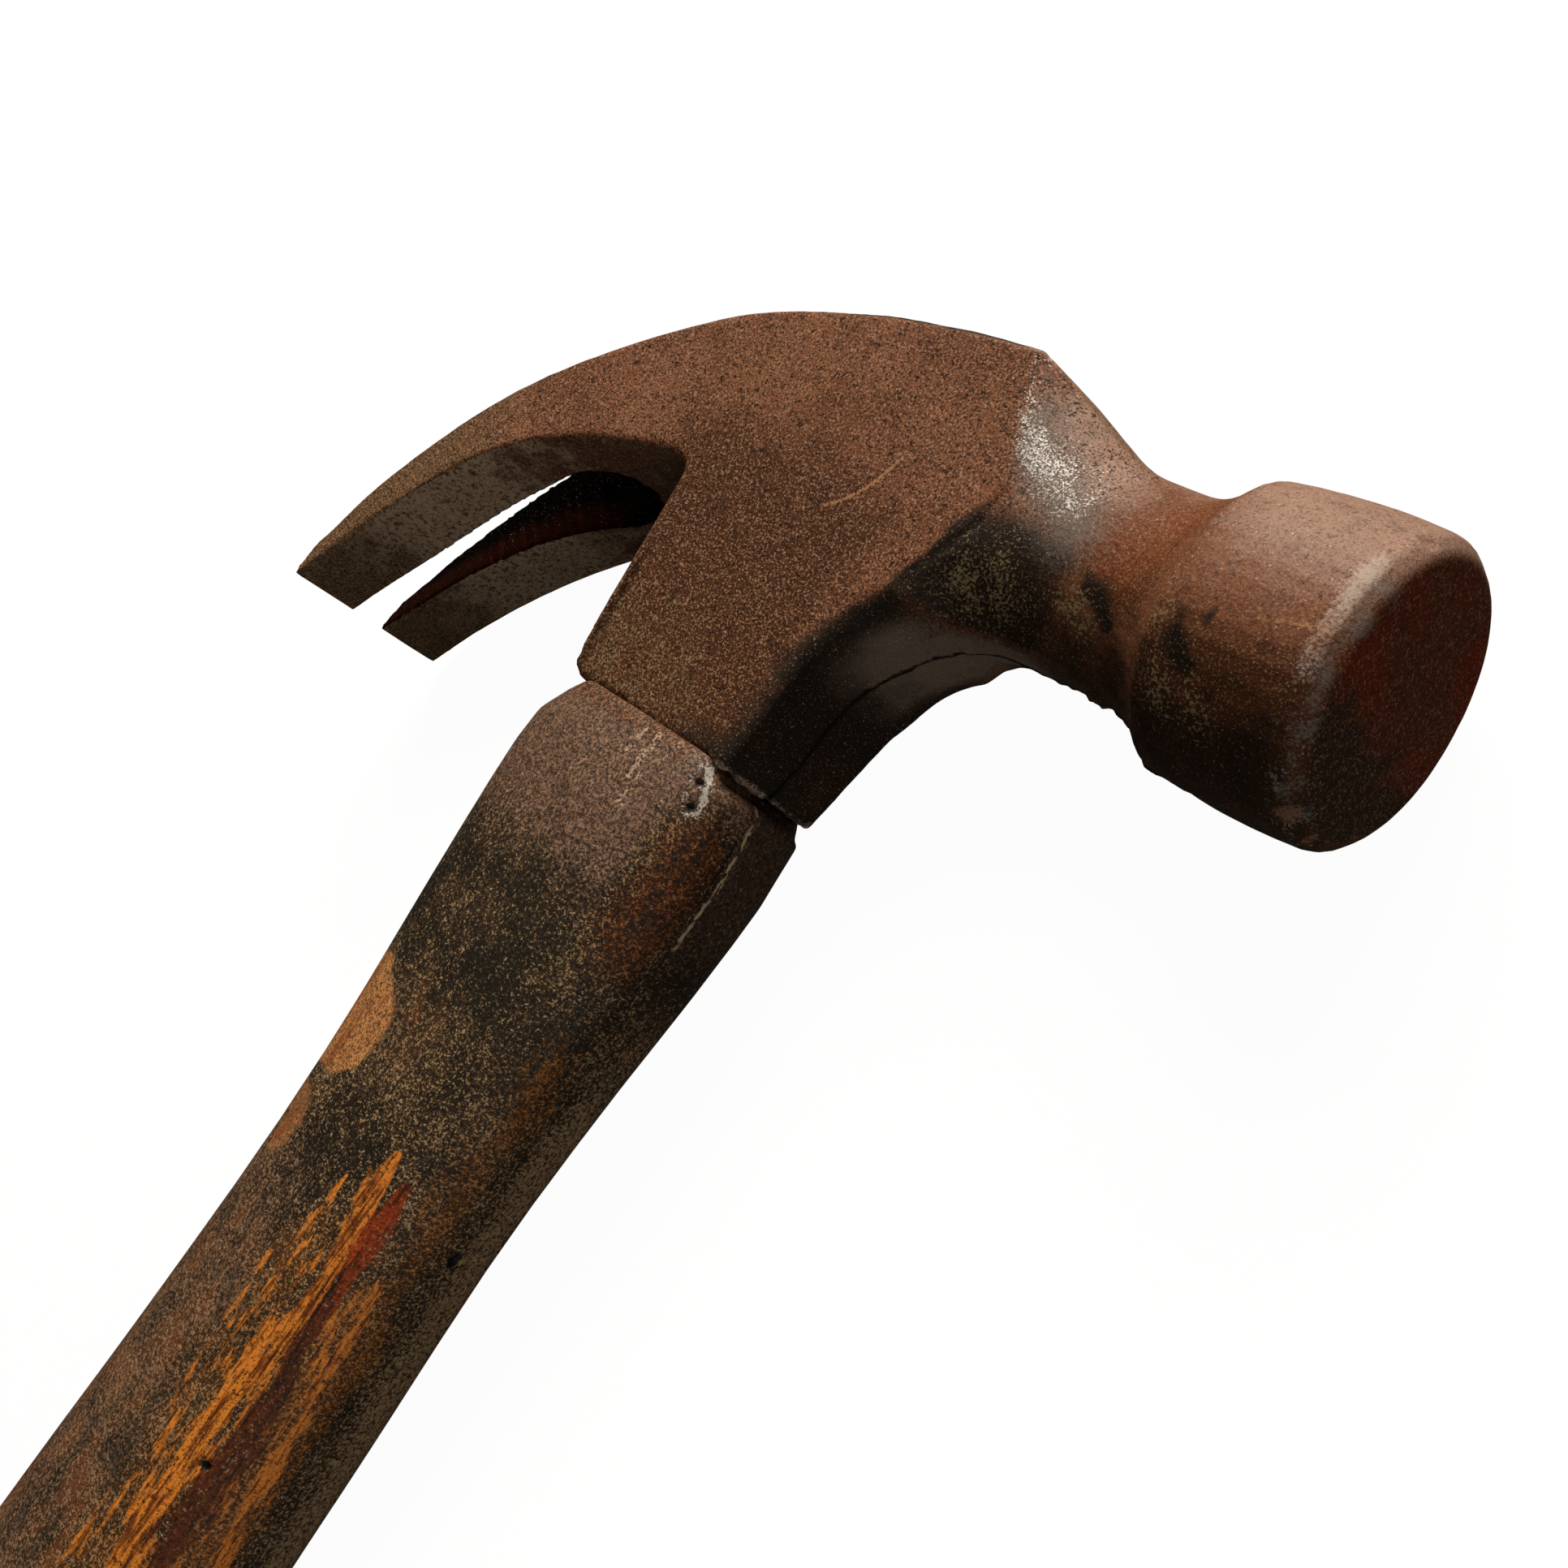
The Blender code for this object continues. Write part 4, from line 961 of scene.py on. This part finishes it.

# %% [markdown]
# The top layer is what a finger would feel, and one painted sheen: grey on the front, partly rubbed finish
# and partly a painted sheen, dark open pores in lines, specks of both kinds, dirt in the joint, scratches,
# the scuff, and the crack with one pale and one black lip.
# The pits are painted black, because a hole this small gets hardly any light.

# %% Worn dark wood: the small marks
# Grey on the front: partly rubbed finish, partly a painted sheen.
dark.stain("greyed", tint(178, 148, 112), sand, 4.0, 0.40, 1.40, 0.90)
pore_lines = dark.times(dark.step(fibre, 0.62, 0.68), dark.step(cloud, 0.44, 0.56))
dark.cover(tint(26, 20, 14), dark.times(pore_lines, 0.85))
dark.cover(tint(20, 16, 11), dark.step(speck, 0.60, 0.67, 0.0, 0.88))
dark.cover(tint(220, 184, 144), dark.step(speck, 0.34, 0.27, 0.0, 0.60))
crud = dark.blend(tint(58, 41, 28), tint(158, 108, 74), dark.step(grit, 0.47, 0.57))
dark.stain("joint_dirt", crud, speck, 1.8, 0.25, 0.85, 0.92)
dark.stain("scratch", tint(214, 178, 150), sand, 3.2, 0.55, 1.05, 0.85)
dark.stain("chip", tint(220, 212, 200), grit, 4.0, 0.45, 1.00, 0.85)
pale_lip = dark.times(dark.thin_line("crack", 1.8, 0.32, 2.2), dark.step(fleck, 0.46, 0.54))
dark.cover(tint(206, 182, 148), pale_lip)
dark.cover(tint(12, 10, 8), dark.thin_line("crack", 2.9, 0.20, 2.2))
dark.cover(tint(12, 10, 8), dark.step(dark.mask("pit"), 0.12, 0.45))

dark.plug(dark.into["Roughness"], dark.step(sand, 0.30, 0.75, 0.62, 0.46))
dark.into["Specular IOR Level"].default_value = 0.28
fibrous = dark.bumps(splinter, 0.20, 0.35)
dark.plug(dark.into["Normal"], dark.bumps(sand, 0.16, 0.55, fibrous))
dark.onto(wooden_handle)

# %% [markdown]
# The wedges show only as three small ends in the top of the eye. The wooden one is sawn, so its end is
# pale pores; the steel ones were driven with another hammer, so their ends are dull and bruised. For ends
# this small no masks are needed, and a grain or two each will do.

# %% Finish the wedges
sawn = Finish("sawn_wedge_wood")
pores = sawn.grain((0.5, 8.0, 0.5), 3.0)
sawn.ground(tint(132, 98, 64), tint(84, 58, 36), sawn.step(pores, 0.40, 0.62))
sawn.cover(tint(48, 34, 22), sawn.step(sawn.grain(2.4), 0.52, 0.70, 0.0, 0.7))
sawn.into["Roughness"].default_value = 0.75
sawn.plug(sawn.into["Normal"], sawn.bumps(pores, 0.15, 0.5))
sawn.onto(wooden_wedge)

dull = Finish("dull_wedge_steel")
bruise = dull.grain(1.1, 4.0)
dull.ground(tint(128, 122, 114), tint(88, 60, 44), dull.step(bruise, 0.46, 0.60))
dull.plug(dull.into["Metallic"], dull.step(bruise, 0.46, 0.60, 0.85, 0.1))
dull.plug(dull.into["Roughness"], dull.step(bruise, 0.35, 0.65, 0.38, 0.65))
dull.plug(dull.into["Normal"], dull.bumps(bruise, 0.2, 0.5))
dull.onto(front_wedge, rear_wedge)

# %% [markdown]
# The floor is plain and almost white. A white floor would throw light back up into the shades under the
# hammer, so it is left out of the bounced light, and it glows by itself so that it stays pale and keeps
# only a breath of shadow.

# %% Lay the floor
FLOOR_HALF = 4.0  # in metres, far past the edges of the picture
FLOOR_GLOW = 0.965
WHITE = (1.0, 1.0, 1.0, 1.0)
corners = [(sx * FLOOR_HALF, sy * FLOOR_HALF, 0) for sx, sy in ((-1, -1), (1, -1), (1, 1), (-1, 1))]
floor_mesh = bpy.data.meshes.new("pale_floor")
floor_mesh.from_pydata(corners, [], [(0, 1, 2, 3)])
floor = bpy.data.objects.new("pale_floor", floor_mesh)
bpy.context.scene.collection.objects.link(floor)
floor.visible_diffuse = False
floor.visible_glossy = False
pale = Finish("pale_floor")
pale.colour = (0.06, 0.06, 0.06, 1.0)
pale.into["Roughness"].default_value = 1.0
pale.into["Specular IOR Level"].default_value = 0.0
pale.into["Emission Color"].default_value = WHITE
pale.into["Emission Strength"].default_value = FLOOR_GLOW
pale.onto(floor)
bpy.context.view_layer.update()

# %% [markdown]
# One broad, warm light stands over the top of the head, so the bell and the cheek glow and everything
# under them falls into shade. A weak fill from the front keeps the face and the underside of the neck from
# going black. Both are square area lights, given by a direction from the crossing.

# %% Hang the lights


def soft_light(name, way, distance, size, power, colour):
    lamp = bpy.data.lights.new(name, "AREA")
    lamp.size = size
    lamp.energy = power
    lamp.color = colour
    made = bpy.data.objects.new(name, lamp)
    made.location = crossing + Vector(way).normalized() * distance
    made.rotation_euler = (-Vector(way)).to_track_quat("-Z", "Y").to_euler()
    bpy.context.scene.collection.objects.link(made)


soft_light(
    "key_light", way=(-0.22, 0.76, 0.64), distance=0.9, size=0.5, power=9.8, colour=(1.0, 0.94, 0.85),
)
soft_light(
    "front_fill", way=(0.80, -0.52, 0.34), distance=1.1, size=0.8, power=2.0, colour=(1.0, 0.94, 0.86),
)

# %% [markdown]
# The room is white to the eye of the camera, to go on from the floor, but lights the hammer only dimly
# and warmly. A light path node tells the two apart: it asks whether a ray comes straight from the camera.

# %% Paint the room
room = bpy.data.worlds.new("pale_room")
room.use_nodes = True
nodes = room.node_tree.nodes
links = room.node_tree.links
dim = nodes["Background"]
dim.inputs["Color"].default_value = (1.0, 0.84, 0.70, 1.0)
dim.inputs["Strength"].default_value = 0.05
wall = nodes.new("ShaderNodeBackground")
wall.inputs["Color"].default_value = WHITE
wall.inputs["Strength"].default_value = 1.0
seen = nodes.new("ShaderNodeLightPath")
either = nodes.new("ShaderNodeMixShader")
links.new(seen.outputs["Is Camera Ray"], either.inputs["Fac"])
links.new(dim.outputs["Background"], either.inputs[1])
links.new(wall.outputs["Background"], either.inputs[2])
links.new(either.outputs["Shader"], nodes["World Output"].inputs["Surface"])
bpy.context.scene.world = room
bpy.context.scene.view_settings.view_transform = "Standard"
print("room painted:", len(nodes), "nodes")
